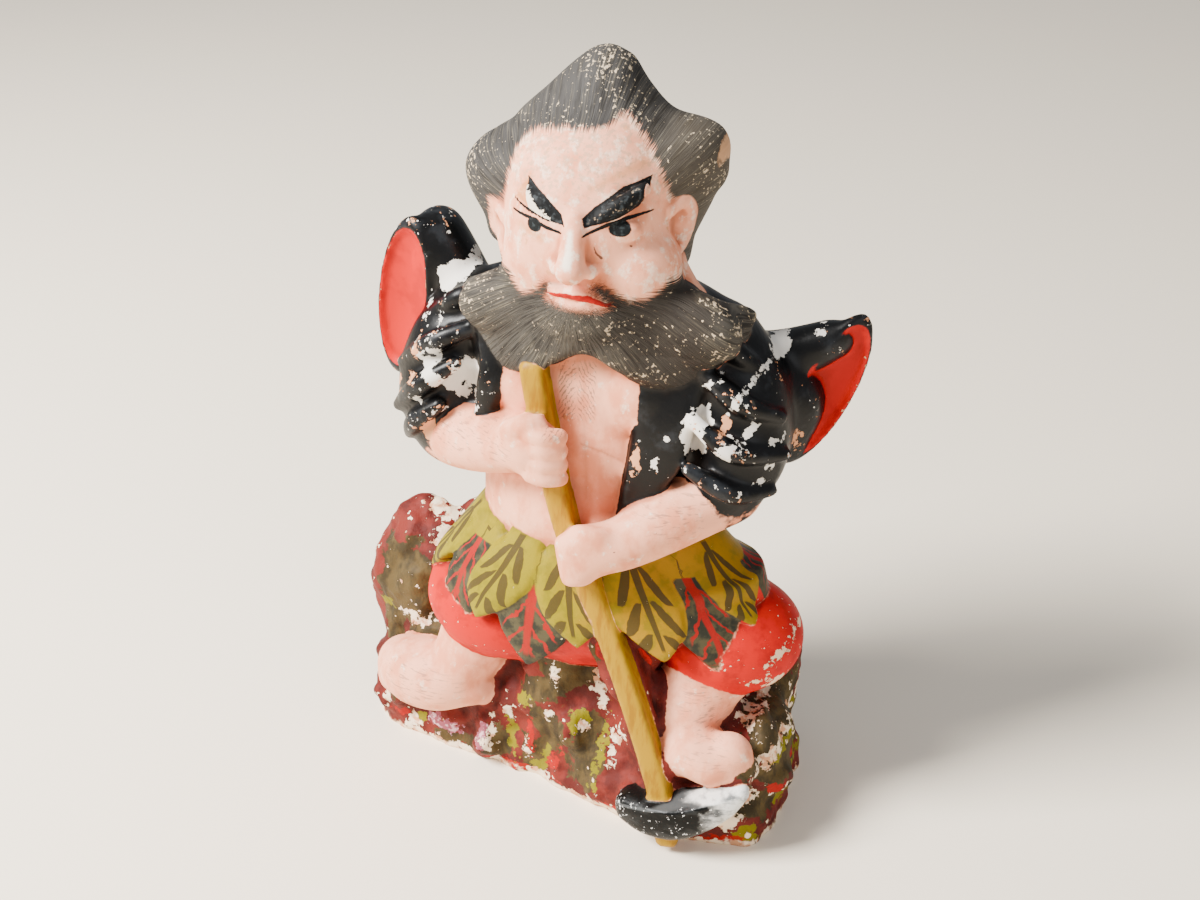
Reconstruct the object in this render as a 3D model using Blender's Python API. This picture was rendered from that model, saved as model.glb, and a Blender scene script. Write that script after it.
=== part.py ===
"""A moulded clay doll: a bearded strong man in a leaf skirt who leans on an axe and stands on a rock.

Front is -Y, +X is the viewer's right, +Z is up, and the origin is under the middle of the rock's flat underside.
The doll is one fired piece, so every form below is pressed into one body of clay, fused and cut flat below.
"""

import math

import bmesh
import bpy
from mathutils import Euler, Matrix, Vector

# Driving sizes, in metres
HEIGHT = 0.2345
ROCK_WIDTH = 0.156
ROCK_DEPTH = 0.080
ROCK_RIM = 0.012
HANDLE_WIDTH = 0.0069
HANDLE_THICKNESS = 0.0058
AXE_LENGTH = 0.034
AXE_THICKNESS = 0.0145
LEAF_RELIEF = 0.0016
BEARD_THICKNESS = 0.0110

# The pose and the carving are laid out in parts, with this many parts to the height
PARTS_HIGH = 234.5
PART = HEIGHT / PARTS_HIGH

# How fine the fused clay is, and how many triangles the finished solid may have
CLAY_GRAIN = HEIGHT / 180
MOST_TRIANGLES = 9000


def at(x, y, z):
    """A place in metres, from parts."""
    return Vector((x, y, z)) * PART


def parts(length):
    """A driving size in parts."""
    return length / PART


def smooth_rows(rows, steps):
    """Rows of numbers along a smooth curve through the given rows."""
    ends = [rows[0], *rows, rows[-1]]
    made = []
    for a, b, c, d in zip(ends, ends[1:], ends[2:], ends[3:]):
        for step in range(steps):
            t = step / steps
            made.append(
                [
                    q + t / 2 * (r - p + t * (2 * p - 5 * q + 4 * r - s + t * (3 * q - p - 3 * r + s)))
                    for p, q, r, s in zip(a, b, c, d)
                ]
            )
    return [*made, list(rows[-1])]


def smooth_outline(points, steps=4):
    """A closed smooth curve through the given points."""
    around = [points[-1], *points, points[0], points[1]]
    curve = smooth_rows(around, steps)
    return curve[steps : -2 * steps]


def press(clay, form):
    """Adds a finished form to the clay."""
    mesh = bpy.data.meshes.new("form")
    form.to_mesh(mesh)
    form.free()
    clay.from_mesh(mesh)
    bpy.data.meshes.remove(mesh)


def add_stack(clay, sections):
    """A closed skin over rings of places, all of one length, with a lid on each end."""
    form = bmesh.new()
    ring = [form.verts.new(place) for place in sections[0]]
    edges = [form.edges.new(pair) for pair in zip(ring, ring[1:] + ring[:1])]
    bmesh.ops.contextual_create(form, geom=edges)
    for section in sections[1:]:
        before = ring
        made = bmesh.ops.extrude_edge_only(form, edges=edges)["geom"]
        new = {item for item in made if isinstance(item, bmesh.types.BMVert)}
        edges = [item for item in made if isinstance(item, bmesh.types.BMEdge) and set(item.verts) <= new]
        ring = [next(e.other_vert(v) for e in v.link_edges if e.other_vert(v) in new) for v in before]
        for vert, place in zip(ring, section):
            vert.co = place
    bmesh.ops.contextual_create(form, geom=edges)
    bmesh.ops.recalc_face_normals(form, faces=form.faces)
    press(clay, form)


def oval(sides, squareness):
    """Unit outline of a section: an oval at 2, nearer to a rectangle above that."""
    made = []
    for k in range(sides):
        turn = math.tau * k / sides
        c, s = math.cos(turn), math.sin(turn)
        size = (abs(c) ** squareness + abs(s) ** squareness) ** (-1 / squareness)
        made.append((c * size, s * size))
    return made


def lump(clay, place, radii, turn=(0, 0, 0)):
    """An egg of clay: its middle and its three half sizes in parts, turned by degrees about X, Y and Z."""
    spin = Euler([math.radians(a) for a in turn]).to_matrix().to_4x4()
    size = Matrix.Diagonal([r * PART for r in radii]).to_4x4()
    shape = Matrix.Translation(at(*place)) @ spin @ size
    form = bmesh.new()
    bmesh.ops.create_uvsphere(form, u_segments=24, v_segments=14, radius=1, matrix=shape)
    press(clay, form)


def roll(clay, rows, across=(1, 0, 0), sides=16, squareness=2, steps=4):
    """A roll of clay with round ends. A row is x, y, z on its axis, the half size along `across`, and the other half size."""
    path = smooth_rows(rows, steps)
    axis = [Vector(row[:3]) for row in path]
    sections = []
    for k, row in enumerate(path):
        along = (axis[min(k + 1, len(path) - 1)] - axis[max(k - 1, 0)]).normalized()
        deep = along.cross(Vector(across)).normalized()
        sections.append((axis[k], along, deep.cross(along), deep, row[3], row[4]))
    stations = []
    for section, way in ((sections[0], -1), (sections[-1], 1)):
        middle, along, wide, deep, half_wide, half_deep = section
        reach = min(half_wide, half_deep)
        caps = [
            (middle + along * way * reach * math.sin(a), along, wide, deep, half_wide * math.cos(a), half_deep * math.cos(a))
            for a in (0.5, 1.0, 1.4)
        ]
        stations.append(caps)
    stations = [*reversed(stations[0]), *sections, *stations[1]]
    outline = oval(sides, squareness)
    add_stack(
        clay,
        [
            [(middle + wide * u * half_wide + deep * v * half_deep) * PART for u, v in outline]
            for middle, _, wide, deep, half_wide, half_deep in stations
        ],
    )


def pillow(clay, outline, half, place, roundness=2.5, layers=6):
    """A pad of clay with a given outline, `half` thick each way at its middle; `place` turns u, v and the lift into parts."""
    middle = [sum(p[i] for p in outline) / len(outline) for i in (0, 1)]
    sections = []
    for layer in range(layers + 1):
        lift = -math.cos(math.pi * (layer + 0.25) / (layers + 0.5))
        size = (1 - abs(lift) ** roundness) ** (1 / roundness)
        sections.append(
            [
                at(*place(middle[0] + (u - middle[0]) * size, middle[1] + (v - middle[1]) * size, lift * half))
                for u, v in outline
            ]
        )
    add_stack(clay, sections)


def mix(a, b, share):
    return a + (b - a) * share


# Rock: the plan of its foot, on a width and depth of 2 each
ROCK_PLAN = [
    (-1.01, 0.10), (-1.02, -0.12), (-0.93, -0.36), (-0.60, -0.52), (-0.22, -0.64), (0.12, -0.84),
    (0.32, -0.97), (0.54, -1.02), (0.74, -0.94), (0.84, -0.68), (0.87, -0.20), (0.83, 0.40),
    (0.62, 0.78), (0.15, 0.90), (-0.45, 0.88), (-0.86, 0.70),
]


def rock_place(u, v):
    return parts(ROCK_WIDTH) / 2 * u, parts(ROCK_DEPTH) / 2 * v


def add_rock(clay):
    """The rock: a broad foot, big boulders behind the legs, and smaller bulges all round."""
    rim = parts(ROCK_RIM)
    outline = [rock_place(u, v) for u, v in smooth_outline(ROCK_PLAN)]
    heights = [(-4, 0.98), (rim * 0.5, 0.99), (rim, 0.97), (rim + 10, 0.91), (34, 0.80), (46, 0.66), (54, 0.45)]
    add_stack(clay, [[at(x * size, y * size, z) for x, y in outline] for z, size in heights])
    boulders = [
        ((-0.80, 0.28, 42), (22, 17, 35)),
        ((-0.87, 0.02, 14), (14, 15, 15)),
        ((-0.40, 0.44, 50), (32, 17, 33)),
        ((0.15, 0.44, 46), (38, 17, 34)),
        ((0.62, 0.28, 30), (17, 20, 30)),
        ((-0.10, -0.46, 26), (14, 10, 33)),
        ((-0.32, -0.38, 16), (15, 8, 18)),
        ((0.42, -0.60, 12), (26, 14, 17)),
        ((0.74, -0.34, 18), (10, 17, 22)),
        ((-0.08, 0.36, 30), (64, 21, 41)),
    ]
    for (u, v, z), radii in boulders:
        lump(clay, (*rock_place(u, v), z), radii)
    bulges = 26
    for k in range(bulges):
        turn = math.tau * k / bulges
        u, v = outline[int(len(outline) * k / bulges)]
        if v > 8:
            continue
        wave = math.sin(k * 2.4)
        height = 7 + 9 * (k % 3) + 3 * wave
        size = 6.5 + 1.6 * wave
        lump(clay, (u * 0.92, v * 0.92, height), (size, size * 0.8, size * 0.95), (0, 0, math.degrees(turn)))


def add_feet(clay):
    """Bare legs below the trousers. The viewer's left foot points outwards, the other one forwards."""
    roll(clay, [(-34, -8, 54, 13, 13), (-38, -15, 43, 12, 12), (-41, -19, 33, 10, 11)])
    roll(clay, [(-36, -21, 28.5, 6, 7), (-46, -21, 29.5, 11, 11), (-58, -18, 28, 12, 11), (-65, -14, 26.5, 9.5, 9)], (0, 0, 1))
    for k in range(5):
        y = -7 - 3.2 * k
        roll(clay, [(-62, y, 26 - 0.8 * k, 2.6, 3.0), (-70 + 1.4 * k, y, 23.5 - 0.9 * k, 2.2, 2.4)], (0, 1, 0), 10)
    roll(clay, [(46, -8, 60, 14, 13), (43, -18, 49, 13, 12), (39, -26, 40, 9.5, 10), (38, -30, 33, 10, 9)])
    roll(clay, [(35, -31, 33, 8, 8), (42, -34, 34, 9.5, 8.5), (50, -37, 35, 9, 7.5)], (0, 1, 0))
    for k in range(5):
        roll(clay, [(49, -30 - 3.2 * k, 36 - 1.1 * k, 2.3, 3.2), (56 - 1.3 * k, -31 - 3.4 * k, 35 - 1.2 * k, 2.2, 2.8)], (0, 1, 0), 10)


def add_trousers(clay):
    """Puffed knee trousers, one bag to each leg."""
    lump(clay, (-26, -11, 58), (27, 21, 16), (0, 20, 0))
    lump(clay, (42, -9, 60), (25.5, 21, 18), (0, -4, 0))
    lump(clay, (4, -6, 76), (30, 20, 14))


# Leaf skirt: height, middle x, middle y, half width and half depth of its bell
SKIRT_ROWS = [(56, 6, -9, 59, 28), (66, 5.5, -9, 57, 27.5), (76, 3.5, -8.5, 51, 26), (86, 2, -8, 42, 23), (95, 0.5, -6, 34, 20.5), (102, 0.5, -5, 30.5, 19)]


def skirt_place(angle, z, lift):
    """A place on the skirt's bell: degrees from the front towards the viewer's right, height, and lift off the bell."""
    for low, high in zip(SKIRT_ROWS, SKIRT_ROWS[1:]):
        if z <= high[0] or high is SKIRT_ROWS[-1]:
            share = (z - low[0]) / (high[0] - low[0])
            _, x, y, wide, deep = (mix(a, b, share) for a, b in zip(low, high))
            break
    turn = math.radians(angle)
    return x + (wide + lift) * math.sin(turn), y - (deep + lift) * math.cos(turn), z


# Leaves: degrees round the skirt at the top and at the tip, height of the tip, half width in degrees
UPPER_LEAVES = [
    (-72, -80, 72, 15), (-40, -31, 70, 14), (-4, 2, 68, 14), (30, 27, 66, 15), (72, 65, 73, 15),
    (112, 112, 70, 15), (142, 142, 70, 15), (172, 172, 70, 15), (202, 202, 70, 15), (234, 234, 70, 15), (262, 262, 71, 14),
]
LOWER_LEAVES = [
    (-54, -43, 61, 12), (-15, -16, 58, 12), (14, 14, 62, 11), (50, 46, 60, 13), (97, 97, 65, 16),
    (127, 127, 63, 13), (157, 157, 62, 13), (187, 187, 62, 13), (217, 217, 63, 13), (248, 248, 64, 13),
]
LEAF_TOP = 98
LEAF_HALF = [(0.0, 0.50), (0.12, 0.78), (0.32, 1.0), (0.55, 0.96), (0.75, 0.70), (0.90, 0.34), (1.0, 0.03)]


def add_leaf(clay, leaf, lift):
    """One leaf laid on the skirt's bell, from the waist to its tip, with a thick root behind it."""
    top, tip, low, half = leaf
    side = [(share, size * half) for share, size in LEAF_HALF]
    outline = [(size, share) for share, size in side] + [(-size, share) for share, size in reversed(side)]
    outline = smooth_outline(outline, 2)

    def place(u, v, w):
        return skirt_place(mix(top, tip, v) + u, mix(LEAF_TOP, low, v), lift + w * (1 if w > 0 else 5))

    pillow(clay, outline, parts(LEAF_RELIEF), place, 4, 4)


def add_skirt(clay):
    """The skirt's bell down to the tops of the leaf tips, then two layers of leaves."""
    bell = [(x, y, z, wide - 1, deep - 1) for z, x, y, wide, deep in SKIRT_ROWS[2:]]
    roll(clay, [(6, -8, 66, 51, 23), *bell], sides=40)
    for leaf in LOWER_LEAVES:
        add_leaf(clay, leaf, -parts(LEAF_RELIEF) * 0.2)
    for leaf in UPPER_LEAVES:
        add_leaf(clay, leaf, parts(LEAF_RELIEF) * 0.8)


def add_torso(clay):
    """Bare belly, ribs and chest."""
    roll(clay, [(1, 0, 84, 35, 21), (0, -2, 100, 35, 24), (-1, -1, 116, 33, 22), (0, 0, 132, 32, 22), (1, 1, 148, 36, 22), (2, 2, 160, 28, 18), (2, 2, 172, 13, 13)], sides=32)
    lump(clay, (0, -13, 102), (26, 15, 17))
    lump(clay, (-15, -13, 143), (15, 11, 14))
    lump(clay, (16, -13, 143), (15, 11, 14))
    lump(clay, (-12, -14, 122), (12, 8, 8))
    lump(clay, (11, -14, 122), (11, 8, 8))


def add_robe(clay):
    """The open robe: its back, the collar, two short pushed-up sleeves with folds, and the hanging front on one side."""
    roll(clay, [(0, 5, 92, 27, 12), (0, 7, 112, 31, 13), (0, 7, 136, 34, 13), (0, 5, 152, 34, 12), (1, 4, 163, 23, 11), (2, 3, 171, 15, 10)], sides=32)
    roll(clay, [(-12, -2, 168, 8, 6), (-24, -2, 164, 9, 8), (-35, -3, 157, 11, 11)], (0, 1, 0))
    roll(clay, [(14, -2, 169, 8, 6), (25, -2, 164.5, 9, 8), (37, -3, 155.5, 11, 11)], (0, 1, 0))
    roll(clay, [(-34, -4, 156, 12, 12), (-42, -7, 145, 14, 14), (-45.5, -10, 132, 13.5, 14), (-42, -12, 121, 12.5, 13)], (1, 0, 0), 24)
    roll(clay, [(-30, -12, 158, 5, 7), (-27, -16, 146, 4.5, 7), (-25, -19, 136, 3, 5)], (1, 0, 0))
    roll(clay, [(36, -4, 155, 13, 13), (43, -7, 142, 15, 16), (45, -11, 126, 14, 15), (40, -15, 114, 11.5, 12)], (1, 0, 0), 24)
    roll(clay, [(27, -20, 156, 11, 4), (26, -22, 140, 9, 4), (22.5, -23, 124, 7, 4), (17, -24.5, 112, 4, 3), (13.5, -25.5, 104, 1.2, 2)], (1, 0, 0))
    lump(clay, (-30, -8, 130), (14, 12, 20))
    lump(clay, (34, -9, 126), (15, 12, 20))
    for k in range(3):
        lean = 4 * k
        roll(clay, [(-54 + lean, -15, 150 - 9 * k, 2.2, 2.6), (-44 + lean, -20, 144 - 9 * k, 2.6, 3), (-33, -20, 141 - 8 * k, 1.8, 2.4)], (0, 0, 1), 10)
        roll(clay, [(33, -21 - k, 146 - 9 * k, 2, 2.6), (45, -22 - k, 140 - 8 * k, 2.6, 3), (56, -15, 140 - 9 * k, 2.2, 2.4)], (0, 0, 1), 10)


def add_sleeve_bags(clay):
    """The long bags of the sleeves, thrown up and back, each with a hollow mouth that shows the lining."""
    roll(clay, [(-40, 2, 156, 9, 9), (-46, 5, 166, 9, 8), (-49, 6, 172, 8.5, 7)], (0, 1, 0), 20)
    roll(clay, [(-52, 3, 168, 10, 7), (-57, 2, 152, 9, 8), (-59, 0, 136, 6, 7)], (0, 1, 0), 20)
    add_mouth(clay, (-63, 2, 152), (25, 9.5, 8), (-0.62, -0.78, 0.02), (0.24, 0, 1))
    roll(clay, [(42, 3, 146, 9, 9), (54, 6, 149, 7.5, 8), (66, 8, 155, 6, 6)], (0, 1, 0), 20)
    roll(clay, [(50, 3, 144, 12, 9), (58, 4, 136, 9, 8), (54, 2, 122, 6, 7)], (0, 1, 0), 20)
    add_mouth(clay, (65.5, 6, 140), (26, 9.5, 8), (0.50, -0.86, -0.05), (0.42, 0.1, 1))


def add_mouth(clay, place, radii, axis, long_way, hollow=0.6):
    """A cupped flap: an egg whose outer half is pushed in, with a round lip left standing all round."""
    long_half, wide_half, deep_half = radii
    out = Vector(axis).normalized()
    wide = out.cross(Vector(long_way)).normalized()
    up = wide.cross(out)
    shape = Matrix((up, wide, out)).transposed().to_4x4()
    form = bmesh.new()
    bmesh.ops.create_uvsphere(form, u_segments=32, v_segments=24, radius=1)
    for vert in form.verts:
        if vert.co.z > 0:
            reach = math.hypot(vert.co.x, vert.co.y)
            lip = math.sin(math.pi * min(1.0, (1 - reach) / 0.22))
            vert.co.z = 0.28 * lip if reach > 0.78 else -hollow * (1 - (reach / 0.78) ** 2)
        vert.co = Vector((vert.co.x * long_half, vert.co.y * wide_half, vert.co.z * deep_half))
    form.transform(Matrix.Scale(PART, 4) @ Matrix.Translation(place) @ shape)
    press(clay, form)


HANDLE_ROWS = [(-10.8, -28, 151.5), (-8, -29, 136), (-4, -30.5, 117), (1, -32, 100), (8.8, -33.5, 82), (18.5, -37, 59), (28.5, -41, 32), (34, -44, 14), (35.5, -45, 5)]


def add_handle(clay):
    """The axe's haft, from under the beard through both fists and the axe head to the ground, with clay behind it."""
    wide, deep = parts(HANDLE_WIDTH) / 2, parts(HANDLE_THICKNESS) / 2
    roll(clay, [(x, y, z, wide, deep) for x, y, z in HANDLE_ROWS], (1, 0, 0), 12, 4)
    roll(clay, [(x, y + 5.5, z, wide * 0.8, 5) for x, y, z in HANDLE_ROWS], (1, 0, 0), 12)
    roll(clay, [(14, -26, 64, 10, 8), (20, -29, 50, 9, 8), (28, -32, 30, 9, 8), (34, -35, 12, 9, 8)], (1, 0, 0), 16)


def add_axe_head(clay):
    """The axe head: a blunt poll on the viewer's left of the haft and a thin blade that curves up on the right."""
    length, thick = parts(AXE_LENGTH), parts(AXE_THICKNESS)
    start = 23
    profile = [
        (0.00, -42, 13, 0.29, 4.5), (0.18, -43.5, 13, 0.42, 6), (0.40, -44, 14, 0.46, 6.5),
        (0.62, -43.5, 17, 0.41, 6), (0.85, -42.5, 22, 0.30, 4.5), (1.00, -41.5, 26, 0.16, 2.5),
    ]
    roll(clay, [(start + length * along, y, z, thick * high, deep) for along, y, z, high, deep in profile], (0, 0, 1), 20, 2.6)


def add_fist(clay, palm, finger_starts, finger_ends, thickness, thumb):
    """A closed hand: a palm, four bent fingers and a thumb."""
    for place, radii, turn in palm:
        lump(clay, place, radii, turn)
    for start, end in zip(finger_starts, finger_ends):
        middle = [mix(a, b, 0.55) for a, b in zip(start, end)]
        middle[1] -= 1.2
        rows = [(*start, thickness, thickness), (*middle, thickness * 1.04, thickness), (*end, thickness * 0.9, thickness * 0.8)]
        roll(clay, rows, (0, 0, 1), 12)
    roll(clay, thumb, (0, 0, 1), 12)


def add_arms(clay):
    """Bare forearms out of the sleeves, and both fists round the haft."""
    roll(clay, [(-45, -9, 119, 10, 10), (-40, -15, 120, 10.5, 10.5), (-30, -22, 123, 10, 10), (-20, -27, 126, 9, 9), (-12, -31, 129, 8, 7.5)], (0, 0, 1), 20)
    roll(clay, [(44, -14, 113, 9, 9), (36, -20, 111, 9.5, 9.5), (26, -28, 107, 9, 9), (17, -34, 103, 8, 8), (9, -37, 101, 7.5, 7.5)], (0, 0, 1), 20)
    add_fist(
        clay,
        [((-11, -33, 130), (8.5, 6.5, 9.5), (0, 10, 0))],
        [(-12.5, -37, 136 - 4.5 * k) for k in range(4)],
        [(0 - 0.3 * k, -35.5, 135 - 4.5 * k) for k in range(4)],
        2.7,
        [(-16, -36, 136, 3.2, 3), (-11, -37, 139, 3, 2.8), (-6.5, -35, 139.5, 2.6, 2.4)],
    )
    add_fist(
        clay,
        [((8, -38, 101), (9.5, 6.5, 8.5), (0, -18, 0))],
        [(11 - 0.9 * k, -42, 105.5 - 3.9 * k) for k in range(4)],
        [(0 + 0.7 * k, -40, 104 - 3.9 * k) for k in range(4)],
        2.7,
        [(13, -40, 108, 3, 2.8), (8, -41, 109, 2.8, 2.6), (4.5, -39.5, 108.5, 2.4, 2.2)],
    )


def add_head(clay):
    """Skull, cheeks, ears, nose, brow ridges, eyes and lips."""
    lump(clay, (1, -7, 199), (25, 20, 23))
    lump(clay, (1.5, -11, 190), (24.5, 21, 25))
    lump(clay, (3, -14, 176), (18, 17, 15))
    lump(clay, (-9.5, -19.5, 181), (12, 11, 11))
    lump(clay, (15, -19.5, 181), (12, 11, 11))
    roll(clay, [(1, -4, 178, 14, 12), (2, -3, 164, 15, 14)])
    roll(clay, [(2.5, -29.5, 198, 3.0, 2.6), (2.5, -32.5, 190, 3.4, 3), (2.5, -34.8, 185, 4.2, 3.8)], (1, 0, 0), 12)
    for side in (-1, 1):
        lump(clay, (2.5 + side * 4.6, -32, 184), (2.6, 3.2, 2.6))
        brow = [(2.5 + side * 4.5, -28.6, 198, 2.4, 2.6), (2.5 + side * 11, -27.4, 202, 3.2, 2.8), (2.5 + side * 18.5, -22.6, 206.5, 2.6, 2.2)]
        roll(clay, brow, (0, 0, 1), 10)
        lump(clay, (2.5 + side * 11, -26.2, 194.5), (6.2, 4.4, 4.0), (0, side * -8, 0))
        ear = -1 + side * 27
        lump(clay, (ear - side * 2.5, -6, 188), (3.4, 5.5, 9), (0, 0, side * -24))
        roll(clay, [(ear - side, -10, 194, 2, 2), (ear + side * 0.4, -6, 196, 2, 2), (ear + side * 0.8, -3, 189, 2, 2), (ear - side * 0.2, -6, 181, 2, 2.4), (ear - side * 1.4, -9, 178, 2.2, 2.4)], (1, 0, 0), 10)
    roll(clay, [(-4.5, -29.6, 176.6, 1.2, 1.5), (3, -32, 177.6, 1.6, 1.8), (10.5, -29.6, 175.4, 1.2, 1.5)], (0, 0, 1), 10)
    roll(clay, [(-2, -29.8, 173.8, 1.4, 1.6), (3.5, -31.4, 173.6, 1.8, 1.9), (8.5, -29.8, 173, 1.4, 1.6)], (0, 0, 1), 10)


BEARD_OUTLINE = [
    (-35, 170), (-34, 160), (-29, 153), (-20, 149), (-9, 151.5), (4, 158), (14, 153), (26, 149.5),
    (38, 154), (45, 161), (48, 169), (38, 173), (26, 177), (14, 176), (3, 172), (-9, 176), (-22, 177),
]


def add_beard(clay):
    """A broad beard that spreads from the chin over both shoulders, with its lower edge proud of the chest."""
    half = parts(BEARD_THICKNESS) / 2

    def place(u, v, w):
        reach = (u - 3.5) / 38
        low = (172 - v) / 24
        return u, -24 + 12 * reach * reach - 2.5 * low - w, v

    pillow(clay, smooth_outline(BEARD_OUTLINE), half, place, 3.5)
    lump(clay, (3.5, -22, 168), (16, 12, 9))
    lump(clay, (-14, -18.5, 166), (19, 9.5, 9), (0, 0, 18))
    lump(clay, (22, -18.5, 166), (21, 9.5, 10), (0, 0, -16))


HAIR_OUTLINE = [
    (3.5, 234.8), (-2, 233.8), (-8, 229.2), (-13.7, 223), (-21, 215.5), (-26.5, 211), (-34, 207), (-39, 200.5), (-38.5, 193.5),
    (-34, 185), (-29, 176), (2, 170), (23, 173), (27, 184), (31, 193), (34.5, 202), (36, 209), (34, 214.3), (29, 216.7), (20, 218.7), (13, 225.8), (8.5, 232.6),
]


def add_hair(clay):
    """Wild hair in three peaks, deeper towards the back of the head, and full down to the nape."""

    def place(u, v, w):
        high = max(0.0, (v - 206) / 30)
        return u, 1.5 + w * (0.70 if w > 0 else 1.0) * (1 - 0.35 * high), v

    pillow(clay, smooth_outline(HAIR_OUTLINE), 22, place, 2.0, 12)
    roll(clay, [(1.5, -9, 207, 23, 12), (1.5, -6, 216, 17, 10), (2, -2, 224, 9, 7)], (1, 0, 0), 24)


def clear_scene():
    for obj in list(bpy.data.objects):
        bpy.data.objects.remove(obj)


def painted_clay():
    material = bpy.data.materials.new("painted_clay")
    material.use_nodes = True
    shader = material.node_tree.nodes["Principled BSDF"]
    shader.inputs["Base Color"].default_value = (0.78, 0.62, 0.55, 1)
    shader.inputs["Roughness"].default_value = 0.75
    shader.inputs["Metallic"].default_value = 0
    return material


def mesh_object(name, clay):
    mesh = bpy.data.meshes.new(name)
    clay.to_mesh(mesh)
    clay.free()
    obj = bpy.data.objects.new(name, mesh)
    bpy.context.scene.collection.objects.link(obj)
    return obj


def ground_cutter():
    """A block below the ground, which cuts the underside flat."""
    block = bmesh.new()
    size = 4 * HEIGHT
    bmesh.ops.create_cube(block, size=size, matrix=Matrix.Translation((0, 0, -size / 2)))
    cutter = mesh_object("ground_cutter", block)
    cutter.hide_render = True
    cutter.display_type = "WIRE"
    return cutter


def triangle_count(obj):
    mesh = obj.evaluated_get(bpy.context.evaluated_depsgraph_get()).data
    mesh.calc_loop_triangles()
    return len(mesh.loop_triangles)


def fuse(doll):
    """Makes the pressed-together forms one skin, softens it, thins its triangles and cuts it flat below."""
    remesh = doll.modifiers.new("fuse", "REMESH")
    remesh.mode = "VOXEL"
    remesh.voxel_size = CLAY_GRAIN
    soften = doll.modifiers.new("soften", "SMOOTH")
    soften.factor = 0.5
    soften.iterations = 2
    thin = doll.modifiers.new("thin", "DECIMATE")
    thin.use_collapse_triangulate = True
    thin.ratio = min(1.0, MOST_TRIANGLES / triangle_count(doll))
    cut = doll.modifiers.new("flat_underside", "BOOLEAN")
    cut.operation = "DIFFERENCE"
    cut.object = ground_cutter()


def build():
    clear_scene()
    clay = bmesh.new()
    for add in (
        add_rock, add_feet, add_trousers, add_skirt, add_torso, add_robe, add_sleeve_bags,
        add_handle, add_axe_head, add_arms, add_head, add_beard, add_hair,
    ):
        add(clay)
    doll = mesh_object("clay_doll", clay)
    doll.data.materials.append(painted_clay())
    fuse(doll)


build()
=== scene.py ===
"""A painted clay doll: a bearded strong man in a leaf skirt, leaning on an axe on a rock.

The doll is one moulded piece, so each section presses its own clay and mixes its own paint, and the
last sections fuse the clay, lay the paint on it and light it. Lengths are in millimetres up to there.
"""

import math

import bmesh
import bpy
import numpy as np
from mathutils import Euler, Matrix, Vector, noise
from mathutils.bvhtree import BVHTree


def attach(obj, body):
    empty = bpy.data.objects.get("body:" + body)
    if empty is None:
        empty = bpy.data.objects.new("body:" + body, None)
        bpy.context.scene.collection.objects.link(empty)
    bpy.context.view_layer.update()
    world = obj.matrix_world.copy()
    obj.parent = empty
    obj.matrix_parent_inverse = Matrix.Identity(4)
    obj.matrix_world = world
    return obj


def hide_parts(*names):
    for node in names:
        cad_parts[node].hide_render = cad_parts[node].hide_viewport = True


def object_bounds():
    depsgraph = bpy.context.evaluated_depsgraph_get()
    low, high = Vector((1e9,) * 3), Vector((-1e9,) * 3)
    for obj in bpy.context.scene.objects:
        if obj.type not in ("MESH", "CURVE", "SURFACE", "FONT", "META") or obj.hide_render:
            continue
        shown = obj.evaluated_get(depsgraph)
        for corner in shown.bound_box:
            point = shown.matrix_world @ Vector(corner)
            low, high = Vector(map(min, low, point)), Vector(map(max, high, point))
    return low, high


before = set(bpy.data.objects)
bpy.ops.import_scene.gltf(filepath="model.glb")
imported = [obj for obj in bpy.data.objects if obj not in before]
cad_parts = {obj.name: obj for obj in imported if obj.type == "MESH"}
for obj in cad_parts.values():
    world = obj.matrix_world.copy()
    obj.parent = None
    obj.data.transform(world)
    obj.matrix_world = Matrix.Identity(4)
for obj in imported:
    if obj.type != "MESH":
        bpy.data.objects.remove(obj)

cad_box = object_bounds()

# Rock
# The rock under the doll: a broad foot, boulders behind the legs and lumps all round, pressed with the
# figure in one mould. It is painted maroon, dabbed with olive, yellow-green and red, and much chipped, with
# a painted mauve-silver sheen low on the left.

clay = {}


def press(kind, form):
    """Adds a finished form to the clay of one kind, such as skin or robe."""
    mesh = bpy.data.meshes.new("form")
    form.to_mesh(mesh)
    form.free()
    if kind not in clay:
        clay[kind] = bmesh.new()
    clay[kind].from_mesh(mesh)
    bpy.data.meshes.remove(mesh)


def mix(a, b, share):
    return a + (b - a) * share


def smooth_rows(rows, steps):
    """Rows of numbers along a smooth curve through the given rows."""
    ends = [rows[0], *rows, rows[-1]]
    made = []
    for a, b, c, d in zip(ends, ends[1:], ends[2:], ends[3:]):
        for step in range(steps):
            t = step / steps
            row = [
                q + t / 2 * (r - p + t * (2 * p - 5 * q + 4 * r - s + t * (3 * q - p - 3 * r + s)))
                for p, q, r, s in zip(a, b, c, d)
            ]
            made.append(row)
    return [*made, list(rows[-1])]


def smooth_outline(points, steps=5):
    """A closed smooth curve through the given points."""
    curve = smooth_rows([points[-1], *points, points[0], points[1]], steps)
    return curve[steps : -2 * steps]


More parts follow.
